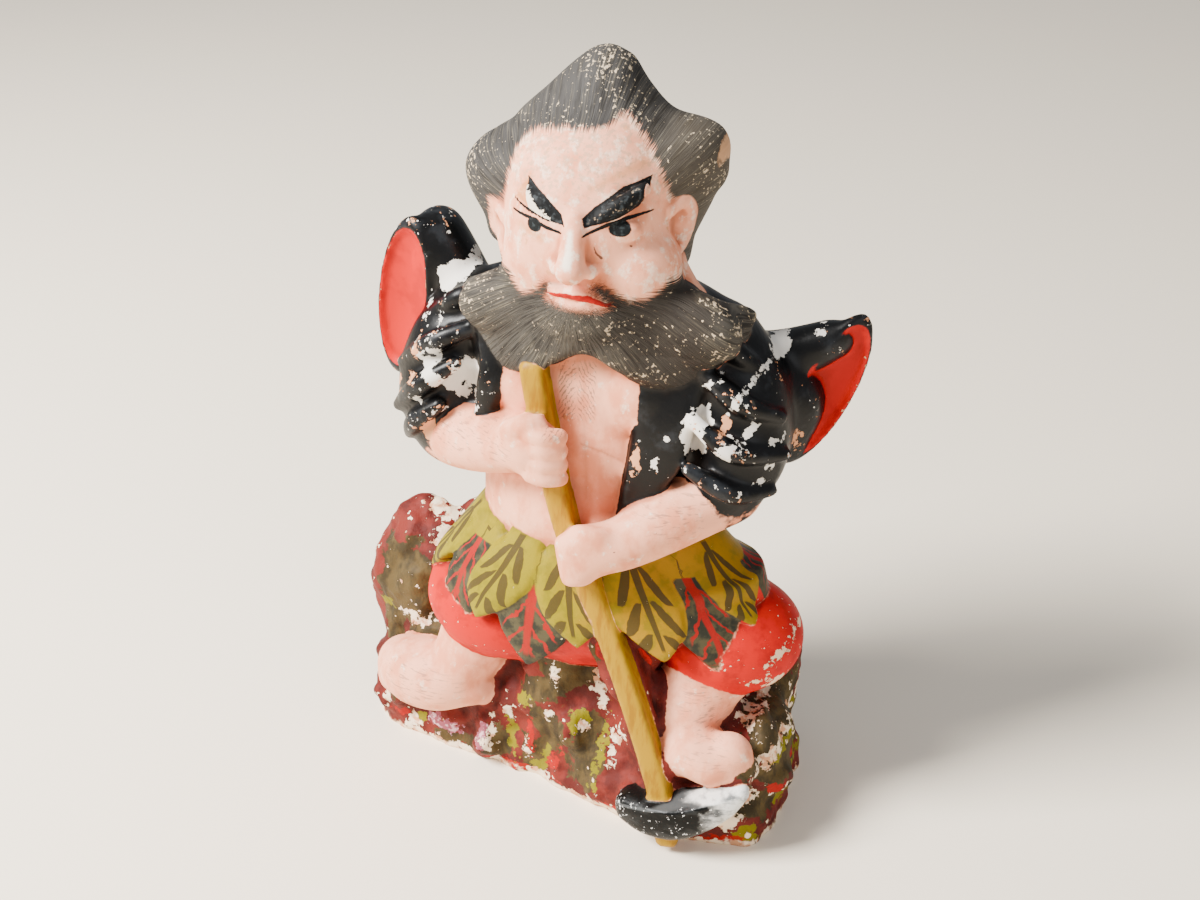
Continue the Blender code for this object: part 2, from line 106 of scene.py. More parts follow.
def add_stack(kind, sections):
    """A closed skin over rings of places, all of one length, with a lid on each end."""
    form = bmesh.new()
    ring = [form.verts.new(place) for place in sections[0]]
    edges = [form.edges.new(pair) for pair in zip(ring, ring[1:] + ring[:1])]
    bmesh.ops.contextual_create(form, geom=edges)
    for section in sections[1:]:
        before = ring
        made = bmesh.ops.extrude_edge_only(form, edges=edges)["geom"]
        new = {item for item in made if isinstance(item, bmesh.types.BMVert)}
        edges = [e for e in made if isinstance(e, bmesh.types.BMEdge) and set(e.verts) <= new]
        ring = [next(e.other_vert(v) for e in v.link_edges if e.other_vert(v) in new) for v in before]
        for vert, place in zip(ring, section):
            vert.co = place
    bmesh.ops.contextual_create(form, geom=edges)
    bmesh.ops.recalc_face_normals(form, faces=form.faces)
    press(kind, form)


def lump(kind, place, radii, turn=(0, 0, 0)):
    """An egg of clay: its middle, its three half sizes, and its turn in degrees about X, Y and Z."""
    spin = Euler([math.radians(a) for a in turn]).to_matrix().to_4x4()
    shape = Matrix.Translation(place) @ spin @ Matrix.Diagonal(radii).to_4x4()
    form = bmesh.new()
    bmesh.ops.create_uvsphere(form, u_segments=40, v_segments=24, radius=1, matrix=shape)
    press(kind, form)


def roll(kind, rows, across=(1, 0, 0), sides=28, squareness=2.0, steps=6):
    """A roll of clay with round ends.

    A row is x, y, z on its axis and its half sizes along `across` and square to it.
    """
    path = smooth_rows(rows, steps)
    axis = [Vector(row[:3]) for row in path]
    sections = []
    for k, row in enumerate(path):
        along = (axis[min(k + 1, len(path) - 1)] - axis[max(k - 1, 0)]).normalized()
        deep = along.cross(Vector(across)).normalized()
        sections.append((axis[k], along, deep.cross(along), deep, row[3], row[4]))
    ends = []
    for section, way in ((sections[0], -1), (sections[-1], 1)):
        middle, along, wide, deep, half_wide, half_deep = section
        reach = min(half_wide, half_deep) * way
        end = []
        for a in (0.3, 0.65, 1.0, 1.3, 1.5):
            tip = middle + along * reach * math.sin(a)
            end.append((tip, along, wide, deep, half_wide * math.cos(a), half_deep * math.cos(a)))
        ends.append(end)
    outline = []
    for k in range(sides):
        c, s = math.cos(math.tau * k / sides), math.sin(math.tau * k / sides)
        size = (abs(c) ** squareness + abs(s) ** squareness) ** (-1 / squareness)
        outline.append((c * size, s * size))
    rings = [
        [middle + wide * u * half_wide + deep * v * half_deep for u, v in outline]
        for middle, _, wide, deep, half_wide, half_deep in [*reversed(ends[0]), *sections, *ends[1]]
    ]
    add_stack(kind, rings)


def pillow(kind, outline, half, place, roundness=2.5, layers=10):
    """A pad of clay, `half` thick each way; `place` turns its outline's u, v and the lift into a place."""
    middle = [sum(p[i] for p in outline) / len(outline) for i in (0, 1)]
    sections = []
    for layer in range(layers + 1):
        lift = -math.cos(math.pi * (layer + 0.25) / (layers + 0.5))
        size = (1 - abs(lift) ** roundness) ** (1 / roundness)
        shrunk = [(mix(middle[0], u, size), mix(middle[1], v, size)) for u, v in outline]
        sections.append([Vector(place(u, v, lift * half)) for u, v in shrunk])
    add_stack(kind, sections)


paint = bpy.data.materials.new("painted clay")
paint.use_nodes = True
coats = []
marks = {}


class Tone:
    """One socket among the paint's nodes, so that sums of tones are written as plain sums."""

    def __init__(self, socket):
        self.socket = socket

    @staticmethod
    def made(kind, settings, sockets, output=0):
        """An output of a new node, with its settings made first and its sockets filled or linked."""
        new = paint.node_tree.nodes.new("ShaderNode" + kind)
        for name, value in settings.items():
            setattr(new, name, value)
        for name, value in sockets.items():
            if isinstance(value, Tone):
                paint.node_tree.links.new(value.socket, new.inputs[name])
            else:
                new.inputs[name].default_value = value
        return Tone(new.outputs[output])

    @staticmethod
    def sum(operation, *values):
        return Tone.made("Math", {"operation": operation}, dict(enumerate(values)))

    def __add__(self, other):
        return Tone.sum("ADD", self, other)

    def __sub__(self, other):
        return Tone.sum("SUBTRACT", self, other)

    def __rsub__(self, other):
        return Tone.sum("SUBTRACT", other, self)

    def __mul__(self, other):
        return Tone.sum("MULTIPLY", self, other)

    def __truediv__(self, other):
        return Tone.sum("DIVIDE", self, other)

    def __abs__(self):
        return Tone.sum("ABSOLUTE", self)

    __radd__ = __add__
    __rmul__ = __mul__


def colour(red, green, blue):
    """A paint's colour from its screen values of 0 to 255."""
    return (*[((part / 255 + 0.055) / 1.055) ** 2.4 for part in (red, green, blue)], 1)


def over(under, top, share):
    """One paint laid over another as far as its share says, each a tone or its screen values."""
    under, top = [colour(*laid) if isinstance(laid, tuple) else laid for laid in (under, top)]
    return Tone.made("Mix", {"data_type": "RGBA"}, {0: share, 6: under, 7: top}, 2)


def step(value, low, high):
    """A soft step from 0 to 1 as the value goes from low to high."""
    sockets = {"Value": value, "From Min": low, "From Max": high}
    return Tone.made("MapRange", {"interpolation_type": "SMOOTHSTEP"}, sockets)


def layered(paint, *layers):
    """A paint with others laid over it in turn, each given with its share."""
    for top, share in layers:
        paint = over(paint, top, share)
    return paint


def mottled(first, second, cloud, low, high):
    """Two paints that take turns over a cloudy field."""
    return over(first, second, step(cloud, low, high))


def seen(name):
    """A field that the fired body carries, in millimetres."""
    return Tone.made("Attribute", {"attribute_name": name}, {}, "Fac")


def vector_sum(operation, sockets, output=0):
    return Tone.made("VectorMath", {"operation": operation}, sockets, output)


metres = Tone.made("TexCoord", {}, {}, "Object")
here = vector_sum("SCALE", {0: metres, "Scale": 1000})
at_x, at_y, at_z = [Tone.made("SeparateXYZ", {}, {0: here}, k) for k in range(3)]
ridge = seen("ridge")


def speckle(size, detail, seed=0, stretch=(1, 1, 1), where=here):
    """Cloudy noise of about 0.3 to 0.7 with spots of a size in millimetres."""
    away, scale = (17.3 * seed, 5.1 * seed, 9.7 * seed), [1 / size / s for s in stretch]
    moved = Tone.made("Mapping", {}, {"Vector": where, "Location": away, "Scale": scale})
    return Tone.made("TexNoise", {}, {"Vector": moved, "Scale": 1, "Detail": detail, "Roughness": 0.6})


def inside(name, wander=0.5, soft=0.25):
    """Where a field is below zero, with the unsteady edge of a hand-held brush."""
    return step(seen(name) + (speckle(2.2, 2, 1) - 0.5) * (4 * wander), soft, -soft)


def most(a, b):
    return Tone.sum("MAXIMUM", a, b)


def least(a, b):
    return Tone.sum("MINIMUM", a, b)


def part_of(tone):
    """What is left of a number past its whole part, which repeats a pattern."""
    return Tone.sum("FRACT", tone)


def dabbed(name, size, bar, pull, seed):
    """Dabs of a worn brush, gathered round the marks of one name."""
    return step(speckle(size, 4, seed) - seen(name) * pull, bar - 0.015, bar + 0.02)


ROCK_PLAN = [
    (-79, 4), (-80, -5), (-73, -14), (-47, -21), (-17, -26), (9, -34), (25, -39), (42, -41), (58, -38),
    (66, -27), (68, -8), (65, 16), (48, 31), (12, 36), (-35, 35), (-67, 28),
]
rock_foot = smooth_outline(ROCK_PLAN)
rock_layers = [(-4, 0.98), (6, 0.99), (12, 0.97), (22, 0.91), (34, 0.80), (46, 0.66), (54, 0.45)]
add_stack("rock", [[(x * size, y * size, z) for x, y in rock_foot] for z, size in rock_layers])
for place, radii in (
    ((-62, 11, 42), (22, 17, 35)),
    ((-68, 1, 14), (14, 15, 15)),
    ((-31, 17, 50), (32, 17, 33)),
    ((12, 17, 46), (38, 17, 34)),
    ((48, 11, 30), (17, 20, 30)),
    ((-8, -18, 26), (14, 10, 33)),
    ((-25, -15, 16), (15, 8, 18)),
    ((33, -24, 12), (26, 14, 17)),
    ((58, -14, 18), (10, 17, 22)),
    ((-6, 14, 30), (64, 21, 41)),
):
    lump("rock", place, radii)
for k in range(26):
    x, y = rock_foot[int(len(rock_foot) * k / 26)]
    wave = math.sin(k * 2.4)
    size = 6.5 + 1.6 * wave
    if y < 8:
        place = (x * 0.92, y * 0.92, 7 + 9 * (k % 3) + 3 * wave)
        lump("rock", place, (size, size * 0.8, size * 0.95), (0, 0, 360 * k / 26))

# middle of each dab, its half width and half height, and its lean in degrees where it leans
marks["olive"] = [
    (-66, -4, 51, 11, 15), (-73, 0, 36, 6, 10), (-58, -2, 38, 8, 8), (-11, -25, 36, 6, 5),
    (-8, -27, 22, 6, 10, -15), (4, -30, 19.5, 6, 11, -10), (-3, -25, 44, 8, 5), (-28, -26, 9, 4, 6),
    (-14, -26, 9, 4, 7), (60.6, -22, 35, 8, 6), (64.5, -24, 23, 6, 6), (63, -27, 13.5, 6, 5),
    (-44, -20, 4, 6, 3), (2.7, -30, 57, 6, 6), (-68, 8, 24, 6, 8),
]
marks["lime"] = [
    (-23, -22, 12, 1.7, 8, 5), (-13, -26, 5, 2, 9, -25), (2, -30, 30, 4, 2.6),
    (9.7, -32, 20, 1.4, 9, -8), (-17, -25, 31, 2.4, 2.6), (-75.8, -1, 39.6, 3, 2),
    (64.8, -21, 27.4, 2, 2), (65.9, -21, 10.4, 1.4, 3), (57.8, -36, 4, 3.4, 3.6),
    (-58, -16, 8, 2, 1.6),
]
marks["scarlet"] = [
    (-7, -28, 10, 1.7, 4.5, -20), (-15.7, -26, 16.7, 1.2, 5.5), (64.5, -25, 16.7, 2.6, 2),
    (49.5, -39, 2.5, 6, 1.6), (14, -33, 3, 5, 2), (-66, -14, 7, 3, 1.6), (-20, -25, 2, 8, 1),
]
marks["mauve_sheen"] = [(-48.8, -19, 8.5, 6, 2.6, -10), (-33, -27, 12, 2, 3)]
marks["rock_chip"] = [
    (-7, -26, 43.7, 2, 3), (-24, -21, 22, 2.6, 3), (-8.8, -27, 29.5, 1.6, 2.4), (7, -25, 40, 3, 3),
    (8.8, -27, 35.6, 2, 2.4), (14.3, -31, 27, 2.2, 5, -15), (5.7, -22, 44.4, 1.6, 1.6),
    (13.7, -33, 20.4, 1.6, 3), (-61, -17, 5.4, 3.2, 3.2), (-70.7, -15, 13.8, 3, 4),
    (-30.5, -27, 12, 1.6, 5.5, -8), (-16.8, -26, 11, 1.2, 4), (3.4, -29.5, 29, 1.6, 1.6),
    (9, -33, 1.4, 4, 1.6, -20), (52, -38, 11, 4.2, 5.5, 20), (56.8, -35, 15, 2.6, 2.6),
    (58, -34, 41, 2, 2), (62.6, -26, 28.8, 3.6, 3), (54.5, -20, 36, 3, 1.4),
    (-61.6, -22, 40.5, 7, 2.4, 8), (-58.4, 10, 75.7, 4, 3), (-55, 1, 67.7, 3, 4.5, 20),
    (-54.7, 5, 73.5, 3, 3), (-48, -12, 66, 1.6, 8), (-47, -14, 52, 1.4, 5),
]
maroon = mottled((108, 37, 30), (80, 28, 24), speckle(9, 3), 0.42, 0.6)
olive = mottled((80, 65, 37), (54, 45, 28), speckle(5, 3, 3, (1, 1, 2)), 0.4, 0.6)
# painted sheen: mauve-silver dabs low on the left stand in for light falling on the maroon
mauve_sheen = mottled((150, 78, 92), (214, 168, 176), speckle(2, 2), 0.5, 0.62)
rock_paint = layered(
    maroon,
    (olive, dabbed("olive", 8, 0.47, 0.055, 2)),
    ((122, 114, 0), dabbed("lime", 3.4, 0.5, 0.11, 4) * 0.9),
    ((158, 16, 10), dabbed("scarlet", 3.4, 0.5, 0.11, 5) * 0.9),
    (mauve_sheen, dabbed("mauve_sheen", 3, 0.5, 0.09, 6)),
)
gesso = mottled((240, 216, 184), (208, 150, 112), speckle(4, 3, 7), 0.5, 0.62)
rock_bare = dabbed("rock_chip", 2.6, 0.53, 0.08, 8)
rock_nicks = step(speckle(3.2, 5, 9) + ridge * 0.05, 0.685, 0.7)
rock_rim = step(at_z + (speckle(4, 4) - 0.5) * 9, 2.0, 0.4)
rock_bare = most(most(rock_bare, rock_nicks), rock_rim)
rock_relief = rock_bare * -0.3 + speckle(1.2, 3) * 0.25
coats.append((inside("rock"), over(rock_paint, gesso, rock_bare), 0.62 + rock_bare * 0.2, rock_relief))

# Legs and feet
# Bare legs below the knee. One foot points out to the viewer's left and one forwards on the rock, and
# each is a smooth mitt with its great toe just set off. They are bare flesh-pink paint.

roll("skin", [(-34, -8, 54, 13, 13), (-38, -15, 43, 12, 12), (-43, -20, 32, 9, 10.5)])
roll("skin", [
    (-36, -21, 28.5, 6, 7), (-46, -21, 29.5, 11, 11), (-58, -18, 28, 12, 11), (-64, -14, 27, 10, 9.5),
], (0, 0, 1))
roll("skin", [(-69, -10, 25.5, 4, 5), (-70, -13, 23, 4.4, 5), (-68.5, -17, 21, 4, 4.5)], (1, 0, 0))
roll("skin", [
    (44, -8, 60, 14.5, 13), (39.5, -18, 49, 13.5, 12), (35.8, -26, 40, 10, 10),
    (35.2, -30, 33, 9.5, 9),
])
roll("skin", [
    (33.5, -31, 33, 8, 8), (40, -34, 33, 9.5, 8.5), (46, -36.5, 31.5, 8.5, 7.5),
    (50, -36.5, 31.5, 6.5, 5.5),
], (0, 1, 0))
lump("skin", (52, -35, 35.5), (7.2, 6.2, 6.4), (0, 25, 0))

scuffed = step(speckle(3.4, 9, 12, (1, 1, 1.2)) + step(at_z, 164, 178) * 0.08 + ridge * 0.02, 0.6, 0.72)
# brushed hairs: where they are, as a mark, and the way they run
marks["hairy"] = [
    (-35, -27, 127, 13, 6, -10), (-20, -33, 130, 8, 6, -10), (31, -29, 112, 14, 6, 20),
    (-52, -26, 32, 14, 7), (42, -30, 46, 7, 10), (46, -36, 36, 8, 5),
]
flesh = layered(
    mottled((244, 170, 136), (226, 142, 106), speckle(7, 5, 11, (1, 1, 1.6)), 0.42, 0.66),
    # painted shade: the skin darkens to brown-tan in its creases
    ((196, 104, 66), step(ridge, -0.15, -1.2) * 0.6),
    ((246, 220, 194), scuffed * (0.35 + step(speckle(0.9, 3, 17), 0.42, 0.58) * 0.4)),
    ((200, 136, 88), step(speckle(5, 5, 13) + step(at_z, 164, 178) * 0.05, 0.69, 0.74) * 0.6),
    ((104, 84, 76), step(speckle(0.6, 2, 14, (7, 4, 1)), 0.55, 0.66) * step(seen("hairy"), 2.5, -2) * 0.5),
    ((60, 44, 40), step(speckle(1.3, 2, 15), 0.77, 0.79)),
)
flesh_rough = 0.6 + scuffed * 0.12
flesh_relief = speckle(1.6, 3, 16, (1.6, 1, 1)) * 0.07 + scuffed * 0.04

# Trousers
# Knee trousers of red-orange paint, puffed into one bag to each leg.

lump("trousers", (-29, -11, 58), (25, 21, 16), (0, 14, 0))
lump("trousers", (44.5, -9, 60), (23, 21, 18), (0, -4, 0))
lump("trousers", (2, -6, 77), (30, 20, 12))

marks["trouser_chip"] = [
    (62.4, -20, 64.5, 1.8, 1.5), (59.5, -24, 61.3, 1, 1), (61, -19, 53.5, 3.2, 2.6, 20),
    (57, -25, 56.6, 2, 0.9, 30), (65, -6, 67.5, 1, 1), (45.9, -29.5, 62.5, 1.8, 1.5),
    (70, -8, 60, 1.4, 2),
]
coral = mottled((194, 12, 5), (168, 9, 4), speckle(7, 3, 21), 0.45, 0.65)
# painted shade: the red darkens in its creases
coral = over(coral, (120, 10, 8), step(ridge, -0.3, -1.3) * 0.7)
trouser_nicks = step(speckle(1.6, 4, 23) + ridge * 0.03, 0.71, 0.73)
trouser_bare = most(dabbed("trouser_chip", 2, 0.53, 0.1, 22), trouser_nicks)
trouser_paint = over(coral, (238, 204, 168), trouser_bare)
coats.append((inside("trousers", 0.3), trouser_paint, 0.55 + trouser_bare * 0.2, trouser_bare * -0.25))

# Leaf skirt
# A skirt of two layers of broad leaves hung from the waist: yellow-green ones with olive veins over
# dark ones with red veins. The leaves stand a little proud, and their points lie on the trousers.

SKIRT_ROWS = [
    (56, 6, -9, 59, 28), (66, 5.5, -9, 57, 27.5), (76, 3.5, -8.5, 51, 26), (86, 2, -8, 42, 23),
    (95, 0.5, -6, 34, 20.5), (102, 0.5, -5, 30.5, 19),
]
# degrees round the skirt at the waist and at the tip, height of the tip, half width in degrees
LIGHT_LEAVES = [
    (-72, -88, 66, 17), (-24, -37, 65.5, 13.5), (-2, -1, 66, 13), (25, 25, 64.5, 14),
    (66, 65, 72, 13.5), (124, 124, 70, 14), (150, 150, 70, 14), (177, 177, 70, 15), (205, 205, 70, 15),
    (234, 234, 70, 15), (262, 262, 71, 14),
]
DARK_LEAVES = [
    (-54, -48, 56.5, 14), (-14, -18, 54, 16), (48, 44, 59, 16), (95, 96, 69, 18), (137, 137, 63, 13),
    (164, 164, 62, 13), (191, 191, 62, 13), (219, 219, 63, 13), (248, 248, 64, 13),
]
LEAF_TOP = 98
LEAF_RELIEF = 1.6
LEAF_HALF = [(0.0, 0.50), (0.12, 0.78), (0.32, 1.0), (0.55, 0.96), (0.75, 0.70), (0.90, 0.34), (1.0, 0.03)]


def skirt_at(z):
    """Middle x, middle y, half width and half depth of the skirt's bell at a height."""
    heights = [row[0] for row in SKIRT_ROWS]
    return [np.interp(z, heights, [row[k] for row in SKIRT_ROWS]) for k in (1, 2, 3, 4)]


def add_leaf(leaf, lift):
    """One leaf laid on the skirt's bell, from the waist to its tip, with a thick root behind it."""
    top, tip, low, half = leaf
    side = [(share, size * half) for share, size in LEAF_HALF]
    outline = [(size, share) for share, size in side] + [(-size, share) for share, size in reversed(side)]

    def place(u, v, w):
        turn, z = math.radians(mix(top, tip, v) + u), mix(LEAF_TOP, low, v)
        x, y, wide, deep = skirt_at(z)
        out = lift + w * (1 if w > 0 else 5)
        return x + (wide + out) * math.sin(turn), y - (deep + out) * math.cos(turn), z

    pillow("leaves", smooth_outline(outline, 3), LEAF_RELIEF, place, 4, 6)


bell = [(x, y, z, wide - 1, deep - 1) for z, x, y, wide, deep in SKIRT_ROWS[2:]]
roll("leaves", [(6, -8, 66, 51, 23), *bell], sides=60)
for leaf in DARK_LEAVES:
    add_leaf(leaf, -LEAF_RELIEF * 0.2)
for leaf in LIGHT_LEAVES:
    add_leaf(leaf, LEAF_RELIEF * 0.8)

leaf_down, leaf_across = seen("light_down"), abs(seen("light_across"))
leaning = leaf_down - leaf_across * 0.5
gaps = abs(part_of(leaning * 3.7 + (speckle(4, 2, 30) - 0.5) * 0.3) - 0.5)
off_middle = leaf_across - 0.42
drop = step(0.36 - off_middle * off_middle * 3.4 - gaps, 0, 0.05) * step(abs(leaning - 0.36), 0.38, 0.36)
rib = step(0.16 - leaf_down * 0.12 - leaf_across, 0, 0.02) * step(abs(leaf_down - 0.48), 0.42, 0.38)
golden = layered(
    mottled((130, 117, 0), (150, 112, 0), at_x + (speckle(12, 2) - 0.5) * 60, -8, 24),
    ((108, 98, 0), step(speckle(5, 3, 31), 0.45, 0.65) * 0.6),
    ((62, 50, 24), most(drop, rib) * 0.92),
)
leaf_down, leaf_across = seen("dark_down"), abs(seen("dark_across"))
leaning = (leaf_down - leaf_across * 0.45) * 5.5 + (speckle(4, 2, 35) - 0.5)
side_vein = step(0.13 - abs(part_of(leaning) - 0.5), 0, 0.06) * step(leaf_across + leaf_down * 0.3, 0.85, 0.7)
middle_vein = step(leaf_across + leaf_down * 0.12, 0.19, 0.14)
vein = most(side_vein, middle_vein) * step(abs(leaf_down - 0.5), 0.42, 0.36)
shade_leaf = mottled((70, 64, 44), (40, 40, 31), speckle(5, 3, 32), 0.4, 0.6)
shade_leaf = over(shade_leaf, (150, 16, 12), vein * 0.9)
leaf_nicks = step(speckle(1.8, 4, 33) + ridge * 0.02, 0.72, 0.74)
leaves = layered(
    coral,
    (shade_leaf, inside("dark", 0.15)),
    (golden, inside("light", 0.15)),
    ((220, 200, 150), leaf_nicks),
)
coats.append((inside("leaves", 0.2), leaves, 0.52, leaf_nicks * -0.2 + speckle(1.6, 2, 34) * 0.1))

# Bare chest
# The chest and belly show where the robe hangs open, with a few brushed hairs down the middle.

TORSO_ROWS = [
    (1, 0, 84, 35, 21), (0, -4, 100, 35, 25), (-1, -4, 116, 33, 23), (0, -4, 132, 32, 22),
    (1, -3, 148, 36, 22), (2, 0, 160, 28, 18), (2, 2, 172, 13, 13),
]
roll("skin", TORSO_ROWS, sides=48)
for place, radii in (
    ((0, -15, 101), (27, 15, 17)),
    ((-15, -16, 143), (16, 11, 14)),
    ((17, -16, 143), (16, 11, 14)),
    ((-12, -17, 121), (12, 8, 8)),
    ((12, -17, 121), (12, 8, 8)),
):
    lump("skin", place, radii)

# Robe
# A black robe hangs open over both shoulders. Its sleeves are pushed up in folds, one front hangs down
# to a point, and the long bags of the sleeves are thrown up behind the shoulders with red linings.

roll("robe", [
    (0, 5, 92, 27, 12), (0, 7, 112, 31, 13), (0, 7, 136, 34, 13), (0, 5, 152, 34, 12),
    (1, 4, 163, 23, 11), (2, 3, 171, 15, 10),
], sides=48)
SHOULDERS = [
    [(-12, -2, 168, 8, 6), (-24, -2, 164, 9, 8), (-35, -3, 157, 11, 11)],
    [(14, -2, 169, 8, 6), (25, -2, 164.5, 9, 8), (37, -3, 155.5, 11, 11)],
]
for rows in SHOULDERS:
    roll("robe", rows, (0, 1, 0))
roll("robe", [
    (-34, -4, 156, 12, 12), (-42, -7, 145, 14, 14), (-45.5, -10, 132, 13.5, 14),
    (-42, -12, 121, 12.5, 13),
], sides=36)
roll("robe", [(-30, -12, 158, 5, 7), (-27, -16, 146, 4.5, 7), (-25, -19, 136, 3, 5)])
roll("robe", [
    (36, -4, 155, 13, 13), (43, -7, 142, 15, 16), (45, -11, 126, 14, 15), (40, -15, 114, 11.5, 12),
], sides=36)
roll("folds", [
    (29, -17, 158, 9.5, 3.6), (27.5, -20.5, 148, 8.8, 3.6), (26, -23.5, 138, 8.4, 3.4),
    (24, -24.5, 128, 8, 3.4), (19, -25, 115, 4.8, 3), (14.5, -26, 104, 1.6, 1.8),
], squareness=3.4)
roll("folds", [
    (-27, -18.5, 158, 4, 3), (-24.5, -22.5, 150, 4, 3), (-25, -24.5, 142, 4, 3),
    (-27, -24.5, 134, 3, 2.4),
], squareness=3)
lump("robe", (-30, -8, 130), (14, 12, 20))
lump("robe", (34, -9, 126), (15, 12, 20))
# folds pushed up on the sleeves, as the x, y and z of their two ends and middles
SLEEVE_FOLDS = [
    [(-27, -9, 167), (-38, -13, 163), (-50, -10, 152)],
    [(-30, -18, 158), (-43, -21, 152), (-56, -15, 141)],
    [(-36, -23, 147), (-47, -24, 139), (-57, -18, 128)],
    [(-41, -25, 134), (-49, -24, 127), (-54, -18, 119)],
    [(31, -14, 165), (43, -16, 159), (52, -12, 150)],
    [(36, -21, 154), (47, -23, 147), (57, -16, 141)],
    [(35, -26, 141), (46, -27, 134), (59, -17, 130)],
    [(34, -28, 127), (46, -27, 121), (56, -19, 119)],
]
for fold in SLEEVE_FOLDS:
    roll("folds", [(*place, size, size) for place, size in zip(fold, (2.2, 3.2, 2.0))], (0, 0, 1), 20)
SLEEVE_BAGS = [
    [(-40, 2, 156, 9, 9), (-47, 5, 168, 9, 8), (-51, 6, 175, 8.5, 7.5)],
    [(-53, 8, 170, 10, 7), (-57, 11, 152, 9, 8), (-58, 8, 136, 6, 7)],
    [(42, 3, 146, 9, 9), (54, 6, 149, 7.5, 8), (66, 8, 155, 6, 6)],
    [(50, 3, 144, 12, 9), (58, 4, 136, 9, 8), (54, 2, 122, 6, 7)],
]
for rows in SLEEVE_BAGS:
    roll("robe", rows, (0, 1, 0))


def add_mouth(place, radii, axis, long_way, hollow):
    """A cupped flap: an egg whose outer half is pushed in, with a round lip left standing all round."""
    long_half, wide_half, deep_half = radii
    out = Vector(axis).normalized()
    wide = out.cross(Vector(long_way)).normalized()
    up = wide.cross(out)
    shape = Matrix.Translation(place) @ Matrix((up, wide, out)).transposed().to_4x4()
    form = bmesh.new()
    bmesh.ops.create_uvsphere(form, u_segments=48, v_segments=36, radius=1)
    inner = []
    for vert in form.verts:
        reach = math.hypot(vert.co.x, vert.co.y)
        if vert.co.z > 0:
            lip = math.sin(math.pi * min(1.0, (1 - reach) / 0.22))
            vert.co.z = 0.28 * lip if reach > 0.78 else -hollow * (1 - (reach / 0.78) ** 2)
            if reach < 0.86:
                inner.append(vert)
        vert.co = Vector((vert.co.x * long_half, vert.co.y * wide_half, vert.co.z * deep_half))
    form.transform(shape)
    lining = form.copy()
    lining.verts.ensure_lookup_table()
    kept = {vert.index for vert in inner}
    bmesh.ops.delete(lining, geom=[v for v in lining.verts if v.index not in kept], context="VERTS")
    press("robe", form)
    press("lining", lining)


add_mouth((-60.8, 0, 154.5), (28, 10.8, 7), (-0.36, -0.93, 0.02), (0.22, 0, 1), 0.25)
add_mouth((65.5, 5, 140), (26.5, 9.5, 5.5), (0.46, -0.88, -0.05), (0.42, 0.1, 1), 0.4)

marks["robe_chip"] = [
    (-41, -22, 142, 12, 2.5, -42), (-33, -19, 143, 6.5, 4.2, -15), (-42.5, -18, 150, 1.8, 3.4, 15),
    (-43, -14, 158.5, 0.9, 3), (-41, -23, 133, 1.3, 0.8), (-47.5, -23, 135, 1, 2),
    (24.4, -27, 128, 1.2, 2.6), (28, -26, 135.5, 1, 1), (35.3, -23, 137, 4.6, 8, -5),
    (52.4, 1, 155, 3.2, 4), (63, 4, 158.5, 1.4, 1.4), (38.4, -21, 152, 2.4, 1, 30),
    (46.8, -20, 149, 5, 1.2, 50), (50.7, -15, 153, 2.6, 1, 60), (44, -25, 134.6, 3.4, 3),
    (50, -23, 139, 2.8, 1, 45), (56.3, -18, 135, 2, 1.2), (55.4, -20, 128, 1.4, 1.4),
    (53.8, -22, 123.5, 1.6, 1), (-43, -3, 165, 5.2, 4.6, 20), (-39, -2, 170, 2, 5),
    (-48, -6, 155, 1.4, 5, 20), (-30, -21, 136, 2.4, 3.4),
]
marks["robe_tan"] = [
    (-44, -25, 125, 2.7, 4.4), (18.6, -26, 127, 1.6, 4.4), (39, -28, 115, 2.6, 2.6),
    (43, -24, 141, 1.6, 3), (-49, -20, 149, 1, 3), (-49.5, -22, 140.5, 1.8, 1.2),
    (-56, -17, 136, 1, 2), (60, -2, 128, 1.2, 4),
]
white_nicks = step(speckle(2, 4, 44) + ridge * 0.06, 0.74, 0.755)
tan_nicks = step(speckle(2, 4, 46) + ridge * 0.08, 0.77, 0.785)
robe_white = most(dabbed("robe_chip", 2.6, 0.52, 0.17, 43), white_nicks)
robe_tan = most(dabbed("robe_tan", 2.4, 0.52, 0.17, 45), tan_nicks)
robe_paint = layered(
    # near-black, lighter on the fold crests and streaked with rubbed grey: worn paint and painted highlight
    # together
    mottled((5, 5, 6), (28, 30, 33), speckle(6, 4, 41) + ridge * 0.08, 0.56, 0.78),
    ((92, 92, 84), step(speckle(3, 5, 42, (1, 1, 2.2)) + ridge * 0.05, 0.7, 0.84) * 0.6),
    ((220, 214, 204), robe_white),
    ((206, 144, 104), robe_tan),
)
robe_bare = most(robe_white, robe_tan)
gloss = inside("robe", 0.35) * (1 - inside("lining", 0.15)) * (1 - robe_bare) * 0.15
robe_relief = robe_bare * -0.35 + speckle(2.5, 3, 47) * 0.15
coats.append((inside("robe", 0.35), robe_paint, 0.42 + robe_bare * 0.35, robe_relief))
lip_bare = step(speckle(2, 4, 48) + ridge * 0.06, 0.68, 0.7)
lining_paint = mottled((192, 12, 5), (172, 9, 4), speckle(9, 3, 49), 0.45, 0.65)
lining_paint = over(lining_paint, (226, 174, 132), lip_bare)
coats.append((inside("lining", 0.15), lining_paint, 0.5, lip_bare * -0.3))

# Haft
# The axe's haft is a flat bevelled bar of yellow paint, moulded on a rib of clay all the way down from
# the beard to the ground.

